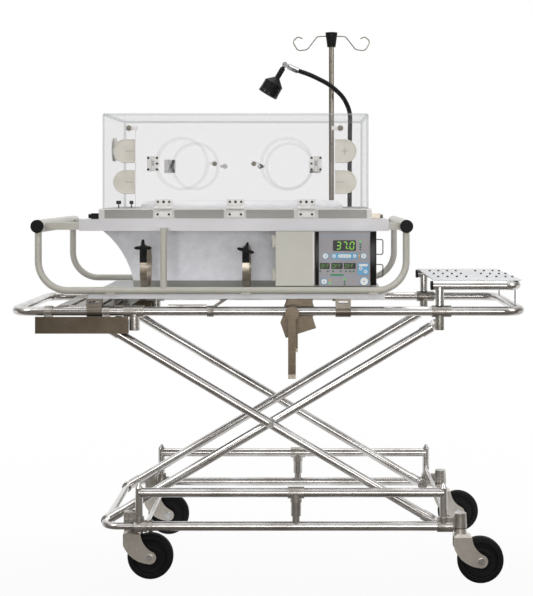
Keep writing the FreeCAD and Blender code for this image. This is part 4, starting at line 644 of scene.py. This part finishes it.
def segments(shape, text, left, low, height, face, lean=0.1):
    # bars of a lit display; a full stop sits between two figures
    wide, thick = height * 0.52, height * 0.075
    ends = {
        "a": ((0, 1), (1, 1)), "b": ((1, 1), (1, 0.5)), "c": ((1, 0.5), (1, 0)), "d": ((0, 0), (1, 0)),
        "e": ((0, 0.5), (0, 0)), "f": ((0, 1), (0, 0.5)), "g": ((0, 0.5), (1, 0.5)),
    }
    start = left
    for mark in text:
        if mark == ".":
            shape.plate(roundDisc(start - thick * 1.6, low + thick, thick * 1.1, 10), face + 0.4, face)
            start += thick * 2
            continue
        for bar in strokes[mark]:
            first, second = [Vector((x * wide, z * height)) for x, z in ends[bar]]
            way = (second - first).normalized()
            across = Vector((-way.y, way.x)) * thick
            near, far = first + way * thick * 0.4, second - way * thick * 0.4
            outline = [near, near + way * thick - across, far - way * thick - across, far,
                       far - way * thick + across, near + way * thick + across]
            shape.plate([(start + x + z * lean, low + z) for x, z in outline], face + 0.4, face)
        start += wide + thick * 4.6


def addPanel():
    face, floor = panelFace["floor"], panelFace["floor"]
    columns = Shape()
    for x0, x1 in panelFace["columns"]:
        columns.box((x0, panelFace["bezel"] - 0.4, panelFace["columnEnds"][0]),
                    (x1, floor, panelFace["columnEnds"][1]), 0.3)
    columns.piece("panel_columns", "deck", "window", "black_plastic")

    lines = Shape()
    x0, x1 = panelFace["lineEnds"]
    half = panelFace["lineHalf"]
    for z in panelFace["lines"]:
        lines.box((x0, face - 0.25, z - half), (x1, floor, z + half))
    lines.piece("panel_lines", "deck", "blueLine", "panel_plastic")

    windows = Shape()
    x0, x1, z0, z1 = panelFace["mainWindow"]
    windows.plate(roundRect(x0, x1, z0, z1, 3.5), floor, face - 1.2, 0.5)
    for x0, x1, z0, z1 in panelFace["smallWindows"]:
        windows.plate(roundRect(x0, x1, z0, z1, 1.6), floor, face - 0.9, 0.4)
    windows.piece("panel_windows", "deck", "window", "black_plastic", smooth=25)

    figures = Shape()
    segments(figures, *panelFace["figures"], face - 1.6)
    figures.piece("panel_figures", "deck", "digit", "panel_plastic")
    words = Shape()
    word, across, above, height = panelFace["words"]
    for x0, x1, z0, z1 in panelFace["smallWindows"]:
        segments(words, word, x0 + across, z0 + above, height, face - 1.3)
    words.piece("panel_off_marks", "deck", "dimDigit", "panel_plastic")

    blue = Shape()
    x0, x1, z0, z1 = panelFace["group"]
    blue.plate(roundRect(x0, x1, z0, z1, 5), floor, face - 0.7, 0.4)
    x0, x1, z0, z1 = panelFace["bluePanel"]
    blue.plate(roundRect(x0, x1, z0, z1, 3), floor, face - 0.7, 0.4)
    for x, z, radius in panelFace["roundFields"]:
        blue.plate(roundDisc(x, z, radius), floor, face - 0.6, 0.4)
    x, z = panelFace["squareKey"]
    blue.plate(roundRect(x - 9, x + 9, z - 8, z + 8, 5), floor, face - 0.6, 0.4)
    blue.piece("panel_blue_fields", "deck", "blueKey", "panel_plastic", smooth=25)

    keys = Shape()
    for x, z, radius in panelFace["roundKeys"]:
        profile = [(0, radius), (1.0, radius), (1.5, radius - 0.6), (1.4, radius * 0.5)]
        keys.lathe((x, floor, z), front, profile, 28)
    for x0, x1, z0, z1, corner, height, soften in panelFace["wideKeys"]:
        keys.plate(roundRect(x0, x1, z0, z1, corner), floor, face - height, soften)
    x, z = panelFace["squareKey"]
    keys.plate(roundRect(x - 7, x + 7, z - 6.2, z + 6.2, 4), floor, face - 1.4, 0.5)
    keys.piece("panel_keys", "deck", "keyWhite", "panel_plastic", smooth=25)

    dots = Shape()
    for x, z in [key[:2] for key in (*panelFace["roundKeys"], panelFace["squareKey"])]:
        dots.plate(roundDisc(x, z, panelFace["keyDot"], 16), face - 1.2, face - 1.75, 0.1)
    across, z, half = panelFace["keyBars"]
    for x in across:
        dots.plate(roundRect(x - half, x + half, z - 1, z + 1, 0.8), face - 1.2, face - 1.6)
    dots.piece("panel_key_marks", "deck", "blueKey", "panel_plastic")

    bar = Shape()
    x0, x1, z0, z1 = panelFace["greenBar"]
    bar.plate(roundRect(x0, x1, z0, z1, 1.4), floor, face - 0.5, 0.2)
    bar.piece("panel_green_bar", "deck", "greenBar", "panel_plastic")

    lampShapes = {"darkLamp": Shape(), "greenLamp": Shape(), "amberLamp": Shape()}
    spots = []
    for x, levels in (panelFace["alarmColumn"], panelFace["lowColumn"]):
        spots += [("greenLamp" if z == levels[0] else "darkLamp", x, z) for z in levels]
    spots += [("darkLamp", x, panelFace["smallLampZ"]) for x in panelFace["smallLamps"]]
    spots += [("amberLamp", x, z) for x, z in panelFace["amber"]]
    spots.append(("greenLamp", *panelFace["lowGreen"]))
    for kind, x, z in spots:
        lampShapes[kind].lathe((x, floor, z), front, panelFace["lamp"], 16)
    for kind, shape in lampShapes.items():
        shape.piece("panel_" + kind, "deck", kind, "panel_plastic")


addPanel()

Shape().box(*panelFace["doorEdge"], 0.6).piece("module_door_edge", "module_door", "white", "beige_paint")
print("controller face made")


# hinges of the front door and the hand ports, with their screws

screwForm = {"radius": 3.3, "height": 1.4, "recess": 0.9}


def screwHead(shape, place, way=front, scale=1.0):
    radius = screwForm["radius"] * scale
    height = screwForm["height"] * scale
    depth = height - screwForm["recess"] * scale
    shape.lathe(place, way, [(0, radius), (height * 0.55, radius), (height, radius * 0.78),
                             (height, radius * 0.42), (depth, radius * 0.38)], 18)


hinges = {
    "across": (-290.0, -90.5, 106.0),
    "axis": (-219.5, 1022.0),
    "radius": 5.0,
    "pin": 2.2,
    "half": 24.7,
    "knuckle": 11.0,
    "baseFace": -217.0,
    "baseWall": -214.05,
    "baseLeaf": (996.2, 1016.8),
    "doorFace": -209.0,
    "doorWall": -206.05,
    "doorLeaf": (1027.2, 1046.8),
    "upper": (1039.0, (-15.6, 0.0, 15.8)),
    "lower": (1004.5, (-15.6, 15.6)),
    "air": 0.3,
    "neck": (3.9, 4.7),           # the leaf's bend up to its knuckle, in front of the pin and above
    "waist": (3.8, 3.0),
}

ports = {
    "middle": ((-239.2, 1, "left"), (51.6, -1, "right")),
    "height": 1145.0,
    "hinge": 80.0,
    "leaf": (2.4, 17.0),          # from the pin
    "leafHalf": 20.0,
    "leafThick": 3.2,
    "leafScrews": 11.5,
    "fixedLeaf": (1.3, 17.0),
    "fixedScrews": 13.5,
    "knuckle": (21.0, 13.0, 4.0, 1.8),      # half height, length, radius and pin of the fixed half
    "axisFace": 214.0,
    "wall": 206.15,
    "face": 211.2,
    "fixedFace": 209.0,
    "rows": (16.0, 0.0, -16.0),
    "latch": (91.0, 213.3),
    "stud": ((0, 6.4), (0.8, 6.4), (1.9, 5.2), (2.3, 3.4), (1.7, 2.8), (1.6, 1.0)),
}

doorStuds = {
    "places": ((-385.7, -215.3, 1243.5, "left"), (200.0, -215.3, 1243.5, "right")),
    "profile": ((0, 7.4), (0.9, 7.4), (2.1, 6.0), (2.6, 3.8), (1.9, 3.2), (1.8, 1)),
}


def addKnuckle(shape, start, way, length, radius, ease=0.5):
    profile = [(0, radius - ease), (ease, radius), (length - ease, radius), (length, radius - ease)]
    shape.lathe(start, way, profile, 24)


def addHinges():
    fixed, swinging = Shape(), Shape()
    y, z = hinges["axis"]
    half, knuckle, radius, air = hinges["half"], hinges["knuckle"], hinges["radius"], hinges["air"]
    (bendFront, bendTop), (waistHalf, waistTop) = hinges["neck"], hinges["waist"]
    for x in hinges["across"]:
        low, high = hinges["baseLeaf"]
        fixed.box((x - half, hinges["baseFace"], low), (x + half, hinges["baseWall"], high), 0.9)
        for x0 in (x - half, x + half - knuckle):
            addKnuckle(fixed, (x0, y, z), right, knuckle, radius)
            fixed.box((x0 + air, y, z - radius * 2), (x0 + knuckle - air, hinges["baseWall"], z), 0.4)
        fixed.lathe((x - half, y, z), right, [(0, hinges["pin"]), (half * 2, hinges["pin"])], 16)
        low, high = hinges["doorLeaf"]
        swinging.box((x - half, hinges["doorFace"], low), (x + half, hinges["doorWall"], high), 0.9)
        inner = half - knuckle - air
        addKnuckle(swinging, (x - inner, y, z), right, inner * 2, radius)
        swinging.box((x - inner, y - bendFront, low), (x + inner, hinges["doorWall"], low + bendTop), 0.5)
        swinging.box((x - inner, y - waistHalf, z), (x + inner, y + waistHalf, low + waistTop), 0.5)
    tall, knuckle, radius, pin = ports["knuckle"]
    for middle, sign, side in ports["middle"]:
        axis = middle - sign * ports["hinge"]
        x0, x1 = sorted(axis - sign * reach for reach in ports["fixedLeaf"])
        lug0, lug1 = sorted((axis - sign * radius, axis))
        for shape, way in ((swinging, front), (fixed, back)):
            y0, y1 = sorted((way.y * ports["wall"], way.y * ports["fixedFace"]))
            shape.box((x0, y0, ports["height"] - tall), (x1, y1, ports["height"] + tall), 0.8)
            at = way.y * ports["axisFace"]
            y0, y1 = sorted((way.y * ports["wall"], at))
            for low in (ports["height"] - tall, ports["height"] + tall - knuckle):
                addKnuckle(shape, (axis, at, low), up, knuckle, radius)
                shape.box((lug0, y0, low + air), (lug1, y1, low + knuckle - air), 0.3)
            shape.lathe((axis, at, ports["height"] - tall), up, [(0, pin), (tall * 2, pin)], 12)
    fixed.piece("hinge_leaves_fixed", "deck", "white", "white_plastic", ("hood_hinge_leaves",), 35)
    swinging.piece("hinge_leaves_door", "front_door", "white", "white_plastic", ("front_door_hinges",), 35)


def addHingeScrews():
    lower, upper = Shape(), Shape()
    for x in hinges["across"]:
        z, offsets = hinges["lower"]
        for offset in offsets:
            screwHead(lower, (x + offset, hinges["baseFace"], z))
        z, offsets = hinges["upper"]
        for offset in offsets:
            screwHead(upper, (x + offset, hinges["doorFace"], z), scale=1.15 if offset == 0 else 1.0)
    for middle, sign, side in ports["middle"]:
        x = middle - sign * (ports["hinge"] + ports["fixedScrews"])
        for row in ports["rows"][::2]:
            z = ports["height"] + row
            screwHead(upper, (x, -ports["fixedFace"], z))
            screwHead(lower, (x, ports["fixedFace"], z), back)
    lower.piece("hinge_screws_lower", "deck", "screw", "steel_rod")
    upper.piece("hinge_screws_upper", "front_door", "screw", "steel_rod")


def addPortTrim():
    # the leaf on each hand port's door, its screws, and the stud of each turn button
    for wall, way in (("front", front), ("rear", back)):
        for middle, sign, side in ports["middle"]:
            place = "_" + wall + "_" + side
            body = "port_door" + place
            axis = middle - sign * ports["hinge"]
            x0, x1 = sorted(axis + sign * reach for reach in ports["leaf"])
            z0, z1 = ports["height"] - ports["leafHalf"], ports["height"] + ports["leafHalf"]
            near, thick = ports["face"], ports["leafThick"]
            y0, y1 = sorted((way.y * near, way.y * (near + thick)))
            leaf = Shape().box((x0, y0, z0), (x1, y1, z1), 0.8)
            leaf.piece("port_leaf" + place, body, "white", "white_plastic")
            screws = Shape()
            for row in ports["rows"]:
                spot = (axis + sign * ports["leafScrews"], way.y * (near + thick - 0.1), ports["height"] + row)
                screwHead(screws, spot, way)
            screws.piece("port_screws" + place, body, "screw", "steel_rod")
            reach, out = ports["latch"]
            Shape().lathe((middle + sign * reach, way.y * out, ports["height"]), way, ports["stud"], 24).piece(
                "port_stud" + place, "port_latch" + place, "stud", "latch_grey")


def addDoorStuds():
    for x, y, z, side in doorStuds["places"]:
        Shape().lathe((x, y, z), front, doorStuds["profile"], 24).piece(
            "door_stud_" + side, "door_latch_" + side, "stud", "latch_grey")


addHinges()
addHingeScrews()
addPortTrim()
addDoorStuds()
print("hinges and studs made")


# tube sleeves and grommets in the hood's front: rim, and each slit drawn as a darker strip of painted shade

grommetForm = {
    "places": ((-369.0, 1, 1180.0, "line"), (-369.0, 1, 1094.0, "line"), (184.0, -1, 1180.0, "cross"),
               (184.0, -1, 1094.0, "line")),
    "face": -207.5,
    "half": 33.0,
    "width": 61.0,
    "rim": 1.6,
    "slit": 0.9,
    "slitEnd": 4.0,
    "crossHalf": 9.0,
    "endPort": (-464.0, 1190.0, 12.0, 17.0, 1.5),      # X, Z, half width, half height and rim
}


def grommetOutline(edge, sign, z, inset):
    half = grommetForm["half"] - inset
    roundX = edge - sign * (grommetForm["width"] - grommetForm["half"])
    flat = edge - sign * (inset + 0.6)
    turns = [math.radians(90 + 180 * i / 24) for i in range(25)]
    curve = [(roundX + sign * half * math.cos(turn), z + half * math.sin(turn)) for turn in turns]
    return [(flat, z + half), *curve, (flat, z - half)]


def addGrommetTrim():
    rims, slitShades = Shape(), Shape()
    face = grommetForm["face"]
    for edge, sign, z, kind in grommetForm["places"]:
        outline = grommetOutline(edge, sign, z, grommetForm["rim"])
        rims.tube([(x, face, z1) for x, z1 in outline], grommetForm["rim"], 10, True)
        roundX = edge - sign * (grommetForm["width"] - grommetForm["half"])
        # a slit is a thin darker strip on the face: painted shade inside the cut
        thin = grommetForm["slit"]
        if kind == "line":
            x0, x1 = sorted((roundX, edge - sign * grommetForm["slitEnd"]))
            slitShades.box((x0, face - 0.5, z - thin), (x1, face + 0.3, z + thin), 0.2)
        else:
            long = grommetForm["crossHalf"]
            slitShades.box((roundX - long, face - 0.5, z - thin), (roundX + long, face + 0.3, z + thin), 0.2)
            slitShades.box((roundX - thin, face - 0.55, z - long), (roundX + thin, face + 0.3, z + long), 0.2)
    x, z, wide, tall, rim = grommetForm["endPort"]
    rims.tube([(x, wide * math.cos(turn), z + tall * math.sin(turn)) for turn in fullTurn(32)], rim, 10, True)
    rims.piece("grommet_rims", "deck", "silicone", "silicone")
    slitShades.piece("grommet_slits", "deck", "slit", "silicone")


addGrommetTrim()


# small black clips on the inside of the hood's front wall, at the left

innerClips = {
    "across": ((-423.0, -409.5), (-386.0, -375.5)),
    "up": (1032.5, 1042.0),
    "wall": -200.0,
    "deep": 6.0,
    "stem": ((0, 1.6), (8, 1.6), (9, 2.4), (11, 2.4)),
}


def addInnerClips():
    clips = Shape()
    (z0, z1), wall, deep = innerClips["up"], innerClips["wall"], innerClips["deep"]
    for x0, x1 in innerClips["across"]:
        clips.box((x0, wall + 0.05, z0), (x1, wall + deep, z1), 1.0)
        clips.lathe(((x0 + x1) / 2, wall + deep / 2, z0 + 1), -up, innerClips["stem"], 16)
    clips.piece("hood_inner_clips", "deck", "black", "black_plastic")


addInnerClips()


# dark domes set in the shelf's holes: painted shade standing in for the dark inside of each hole

shelfHoleShades = {
    "rows": (-125, 0, 130),
    "first": 480,
    "pitch": 26.5,
    "gap": 59,
    "last": 690.5,
    "top": 825.3,
    "profile": ((-2, 2.3), (0, 2.3), (0.05, 3.4), (2.2, 3.2), (3.2, 2.2)),
}


def addShelfHoleShades():
    form = shelfHoleShades
    # each dark dome is painted shade for a hole's dark inside
    holeShades = Shape()
    for y in form["rows"]:
        for i in range(8):
            x = form["first"] + i * form["pitch"] + (i // 4) * (form["gap"] - form["pitch"])
            holeShades.lathe((min(x, form["last"]), y, form["top"]), up, form["profile"], 16)
    holeShades.piece("shelf_hole_shades", "deck", "screw", "black_plastic")


addShelfHoleShades()


# bare plates on the hood's base strip

stripPlates = {
    "across": ((-453.0, -319.0), (-259.5, -122.5), (-61.0, 71.5), (138.5, 273.5)),
    "up": (993.6, 1017.4),
    "faces": (-214.0, -214.7),
    "corner": 2.5,
}


def addStripPlates():
    plates = Shape()
    for x0, x1 in stripPlates["across"]:
        outline = roundRect(x0, x1, *stripPlates["up"], stripPlates["corner"])
        plates.plate(outline, *stripPlates["faces"], 0.3)
    plates.piece("strip_plates", "deck", "label", "strip_grey", smooth=25)


addStripPlates()
print("grommets and plates made")


# cylinder straps: a bent band with rounded ears, a foot and a black grip under the knob

strapForm = {
    "places": ((-342.0, 913.0), (-60.6, 906.0)),
    "middle": (-185.0, 858.0),
    "radius": 56.0,
    "thick": 2.5,
    "half": 9.75,
    "mouth": 134.3,       # degrees from the back, where the band turns up into its rear ear
    "rearEar": (-225.0, -222.5, 899.6),
    "foot": (776.0, 17.0),
    "footFlange": 9.5,
    "footScrews": 14.6,
    "gripFrom": 872.0,
}


def earOutline(x, low, top):
    half = strapForm["half"]
    turns = [math.pi * i / 14 for i in range(15)]
    return [(x - half, low), (x + half, low)] + [(x + half * math.cos(turn), top + half * math.sin(turn))
                                                 for turn in turns]


def addStraps():
    form = strapForm
    y, z = form["middle"]
    inner, outer = form["radius"], form["radius"] + form["thick"]
    low, reach = form["foot"]
    band, grip, screws = Shape(), Shape(), Shape()
    turns = [math.radians(form["mouth"] - (form["mouth"] + 180) * i / 60) for i in range(61)]
    for x, knob in form["places"]:
        x0, x1 = x - form["half"], x + form["half"]
        profile = [(y + outer * math.cos(turn), z + outer * math.sin(turn)) for turn in turns]
        profile += [(y + inner * math.cos(turn), z + inner * math.sin(turn)) for turn in turns[::-1]]
        band.skin([[(at, across, high) for across, high in profile] for at in (x0, x1)])
        band.plate(earOutline(x, z, knob), y - inner, y - outer, 0.3)
        rear0, rear1, foot = form["rearEar"]
        band.plate(earOutline(x, foot, knob), rear1, rear0, 0.3)
        band.box((x0, y - reach, low), (x1, y + reach, z - inner - 1.2), 0.6)
        flange = form["footFlange"]
        band.box((x0 - flange, y - reach, low), (x1 + flange, y + reach, low + form["thick"]), 0.8)
        grip.plate(earOutline(x, form["gripFrom"], knob), y - inner + 0.2, y - outer - 0.24, 0.1)
        for offset in (-form["footScrews"], form["footScrews"]):
            screwHead(screws, (x + offset, y, low + form["thick"]), up)
    band.piece("strap_bands", "deck", "band", "stainless_sheet", ("strap_clamps",), 30)
    grip.piece("strap_grips", "deck", "black", "black_plastic")
    screws.piece("strap_screws", "deck", "screw", "steel_rod")


addStraps()


# star knobs of the cylinder straps

starKnob = {
    "places": ((-342.0, 913.0, 0, "left"), (-60.6, 906.0, -15, "right")),
    "faces": (-255.8, -243.8),
    "core": 9.4,
    "tip": 24.0,
    "narrow": 4.5,        # how quickly a lobe falls away
    "sides": 96,
}


def addStarKnobs():
    near, far = starKnob["faces"]
    steps = ((far, 0.90), (far - 1.4, 1.0), (near + 3.2, 1.0), (near + 1.2, 0.95), (near, 0.84))
    for x, z, turn, side in starKnob["places"]:
        shape = Shape()
        loops = []
        for y, size in steps:
            loop = []
            for angle in fullTurn(starKnob["sides"]):
                lobe = abs(math.cos(2 * (angle - math.radians(turn)))) ** starKnob["narrow"]
                radius = (starKnob["core"] + (starKnob["tip"] - starKnob["core"]) * lobe) * size
                loop.append(Vector((x + radius * math.cos(angle), y, z + radius * math.sin(angle))))
            loops.append(loop)
        shape.skin(loops)
        shape.lathe((x, far - 0.5, z), back, [(0, 9), (4, 9), (5, 7.5)], 24)
        shape.lathe((x, far + 4, z), back, [(0, 4), (46, 4)], 16)
        shape.lathe((x, near + 0.4, z), front, [(0, 8.5), (0.5, 8.5), (1.0, 7.6), (0.7, 3.4)], 28)
        shape.piece("star_knob_piece_" + side, "star_knob_" + side, "black", "black_plastic",
                    ("star_knob_" + side,), 35)


addStarKnobs()


# casters: rounded tyre, hub with faint rings, ring seal over the neck

casters = {
    "places": {
        "front_left": (-379.0, -226.0, 0), "rear_left": (-379.0, 226.0, 0),
        "front_right": (526.0, -262.0, 1), "rear_right": (526.0, 262.0, 1),
    },
    "trail": 55.0,
    "height": 63.5,
    "tyre": ((14.6, 46.4), (16.0, 48.4), (16.0, 53.0), (14.2, 59.2), (9.5, 62.6), (0.0, 63.5)),
    "hub": ((11.2, 46.8), (12.5, 45.0), (12.5, 42.4), (10.6, 40.6), (10.2, 31.0), (11.4, 29.6), (11.4, 24.0),
            (10.4, 22.8), (10.4, 15.0), (12.5, 13.2), (12.5, 6.8)),
    "axleHead": (9.6, 23),        # radius, and how far from the caster's middle
    "seal": (149.6, ((0, 17.4), (0.6, 18.0), (2.0, 18.0), (2.4, 17.2))),
}


def addWheels():
    radius, out = casters["axleHead"]
    for name, (x, y, sealed) in casters["places"].items():
        middle = (x + casters["trail"], y, casters["height"])
        tyre = [(-along, away) for along, away in casters["tyre"]] + list(casters["tyre"][-2::-1])
        hub = [(-along, away) for along, away in casters["hub"]] + list(casters["hub"][::-1])
        Shape().lathe(middle, back, tyre, 64, True).piece(
            "tyre_" + name, "wheel_" + name, "tyre", "tyre_rubber", ("wheel_" + name,), 30)
        Shape().lathe(middle, back, hub, 48, True).piece(
            "hub_" + name, "wheel_" + name, "hub", "tyre_rubber", smooth=30)
        dressPart("fork_" + name, "bright", lambda spot, normal: (
            math.hypot(spot.x - middle[0], spot.z - middle[2]) < radius and abs(spot.y - y) > out))
        if sealed:
            height, profile = casters["seal"]
            Shape().lathe((x, y, height), up, profile, 32).piece(
                "neck_seal_" + name, "swivel_" + name, "black", "black_plastic")


addWheels()
print("knobs and wheels made")


# examination lamp: reflector, lens behind the lip and lip ring

lampForm = {
    "pivot": (40.0, 125.0, 1452.0),
    "axis": (-0.507, 0.0, -0.862),
    "neck": 46.0,
    "length": 59.0,
    # profiles from the mouth: how far along the axis, and the radius there
    "lens": ((-5, 26.9), (-2.8, 26.9), (-1.8, 18.0), (-1.2, 4)),
    "lip": ((-9, 30), (-8, 30.9), (-0.8, 30.9), (0.2, 29.4), (0.2, 27), (-4, 27)),
    "bulb": ((-21.5, 24), (-19.5, 25), (-7.5, 26.4), (-7.3, 25.8), (-17.5, 12), (-18.5, 7), (-11.5, 6),
             (-9.5, 3)),
}


def addLamp():
    way = Vector(lampForm["axis"]).normalized()
    mouth = Vector(lampForm["pivot"]) + way * (lampForm["neck"] + lampForm["length"])
    for name, profile, sides, finish, slot in (
            ("lamp_lens", "lens", 40, "lens", "clear_acrylic"),
            ("lamp_lip", "lip", 48, "gloss", "black_plastic"),
            ("lamp_reflector", "bulb", 32, "bright", "stainless_sheet")):
        Shape().lathe(mouth, way, lampForm[profile], sides).piece(name, "lamp_head", finish, slot)


addLamp()


# mattress: a filled cover, blown up a little by a cloth simulation

mattressForm = {
    "voxel": 0.006,
    "shrink": 0.003,
    "pressure": 4.0,
    "frames": 20,
    "cap": 0.007,
    "floor": 0.9954,
    "reach": ((-0.3745, 0.2195), (-0.1625, 0.1625)),
    "top": 1.0405,
}


def addMattress():
    form = mattressForm
    source = nodes["mattress"].data.copy()
    low, high = [Vector(corner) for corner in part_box("mattress")]
    middle = (low + high) / 2
    shrink = Vector(1 - 2 * form["shrink"] / side for side in (high - low))
    for vertex in source.vertices:
        vertex.co = Vector(middle[i] + (vertex.co[i] - middle[i]) * shrink[i] for i in range(3))
    pad = bpy.data.objects.new("mattress_form", source)
    bpy.context.scene.collection.objects.link(pad)
    remesh = pad.modifiers.new("remesh", "REMESH")
    remesh.mode = "VOXEL"
    remesh.voxel_size = form["voxel"]
    pad.data = evaluated(pad)
    pad.modifiers.clear()
    start = [vertex.co.copy() for vertex in pad.data.vertices]
    cloth = pad.modifiers.new("cloth", "CLOTH")
    cloth.settings.use_pressure = True
    cloth.settings.uniform_pressure_force = form["pressure"]
    cloth.settings.effector_weights.gravity = 0
    for number in range(1, form["frames"] + 1):
        bpy.context.scene.frame_set(number)
    pad.data = evaluated(pad)
    pad.modifiers.clear()
    bpy.context.scene.frame_set(1)
    for before, vertex in zip(start, pad.data.vertices):
        move = vertex.co - before
        if move.length > form["cap"]:
            vertex.co = before + move.normalized() * form["cap"]
        vertex.co.z = min(max(vertex.co.z, form["floor"]), form["top"])
        for i, (least, most) in enumerate(form["reach"]):
            vertex.co[i] = min(max(vertex.co[i], least), most)
    finer = pad.modifiers.new("finer", "SUBSURF")
    finer.levels = 1
    mesh = evaluated(pad)
    bpy.data.objects.remove(pad)
    made = settle("mattress_cover", mesh, "deck", "cloth", ("mattress",), 180)


def evaluated(thing):
    graph = bpy.context.evaluated_depsgraph_get()
    return bpy.data.meshes.new_from_object(thing.evaluated_get(graph), depsgraph=graph)


addMattress()
print("mattress made")


# studio: pale floor that fades to white, soft lamps, a darker side behind the camera for the metal

studio = {
    "floorSize": 60,
    "fade": (0.5, 2.6),           # metres from the middle over which the floor turns white
    "leastWhite": 0.95,
    "nearSide": (0.3, -0.3),      # Y over which the floor that the metal sees turns dark
    "floorColours": (screen(246, 246, 246), screen(112, 105, 97)),
    "room": ((0.0, screen(74, 66, 58)), (0.055, screen(96, 88, 80)), (0.1, screen(196, 190, 184)),
             (0.24, (1, 1, 1, 1))),
    "sides": ((0.0, (1, 1, 1, 1)), (0.62, (1, 1, 1, 1)), (0.95, screen(126, 119, 111))),
    "skyLight": 0.62,
    # name, place, target, size and power
    "lamps": (
        ("keyLamp", (-2.4, -2.6, 3.2), (0, 0, 0.7), (1.6, 1.6), 34),
        ("sideLamp", (2.8, -1.8, 2.0), (0, 0, 0.8), (1.2, 2.0), 20),
        ("frontLamp", (0.3, -4.2, 1.0), (0, 0, 0.8), (2.6, 1.2), 40),
        ("topLamp", (0, 0.4, 3.6), (0, 0, 0.9), (2.4, 1.6), 26),
    ),
}


def addSoftLamp(name, place, target, size, power):
    lamp = bpy.data.lights.new(name, "AREA")
    lamp.shape = "RECTANGLE"
    lamp.size, lamp.size_y = size
    lamp.energy = power
    rig = bpy.data.objects.new(name, lamp)
    rig.location = place
    rig.rotation_euler = (Vector(target) - Vector(place)).to_track_quat("-Z", "Y").to_euler()
    bpy.context.scene.collection.objects.link(rig)


def addFloor():
    half = studio["floorSize"] / 2
    mesh = bpy.data.meshes.new("floor")
    corners = [(-half, -half, 0), (half, -half, 0), (half, half, 0), (-half, half, 0)]
    mesh.from_pydata(corners, [], [(0, 1, 2, 3)])
    floor = bpy.data.objects.new("floor", mesh)
    bpy.context.scene.collection.objects.link(floor)
    finish = Finish("paleFloor")
    distance = finish.node("VectorMath", {"operation": "LENGTH"}, {0: finish.place()}, "Value")
    start, end = studio["fade"]
    fade = finish.node("MapRange", values={
        "Value": distance, "From Min": start, "From Max": end, "To Min": studio["leastWhite"]})
    ahead = finish.node("SeparateXYZ", values={"Vector": finish.place()}, output="Y")
    nearSide = finish.between(ahead, *studio["nearSide"])
    colour = finish.tint(nearSide, *studio["floorColours"])
    matt = finish.node("BsdfPrincipled", values={"Base Color": colour, "Roughness": 0.7})
    white = finish.node("Emission", values={"Color": (1, 1, 1, 1), "Strength": 1.0})
    mirrored = finish.node("LightPath", output="Is Glossy Ray") * (1 - nearSide)
    seen = finish.node("LightPath", output="Is Camera Ray")
    seen = seen + finish.node("LightPath", output="Is Transmission Ray") + mirrored
    mixed = finish.node("MixShader", values={0: fade * seen, 1: matt, 2: white})
    mesh.materials.append(finish.surface(mixed))


def addSky():
    # white wherever the camera looks; in metal, a brown-grey room on the camera's side
    world = bpy.data.worlds.new("studio")
    bpy.context.scene.world = world
    sky = Finish("studio", world)
    direction = sky.node("TexCoord", output="Generated")
    ahead = sky.node("SeparateXYZ", values={"Vector": direction}, output="Y")
    across = sky.node("SeparateXYZ", values={"Vector": direction}, output="X")
    room = sky.node("ValToRGB", {"stops": studio["room"]}, {"Fac": ahead * 0.5 + 0.5})
    sides = sky.node("ValToRGB", {"stops": studio["sides"]}, {"Fac": abs(across)})
    mirrored = sky.node("Background", values={"Color": sky.tint(1.0, room, sides, "MULTIPLY")})
    glow = sky.node("Background", values={"Color": (1, 1, 1, 1), "Strength": studio["skyLight"]})
    white = sky.node("Background", values={"Color": (1, 1, 1, 1)})
    glossy = sky.node("LightPath", output="Is Glossy Ray")
    camera = sky.node("LightPath", output="Is Camera Ray")
    through = sky.node("LightPath", output="Is Transmission Ray")
    first = sky.node("MixShader", values={0: glossy, 1: glow, 2: mirrored})
    clear = camera.maths("MAXIMUM", camera, through)
    sky.surface(sky.node("MixShader", values={0: clear, 1: first, 2: white}))


addFloor()
addSky()
for lamp in studio["lamps"]:
    addSoftLamp(*lamp)
print("studio set")
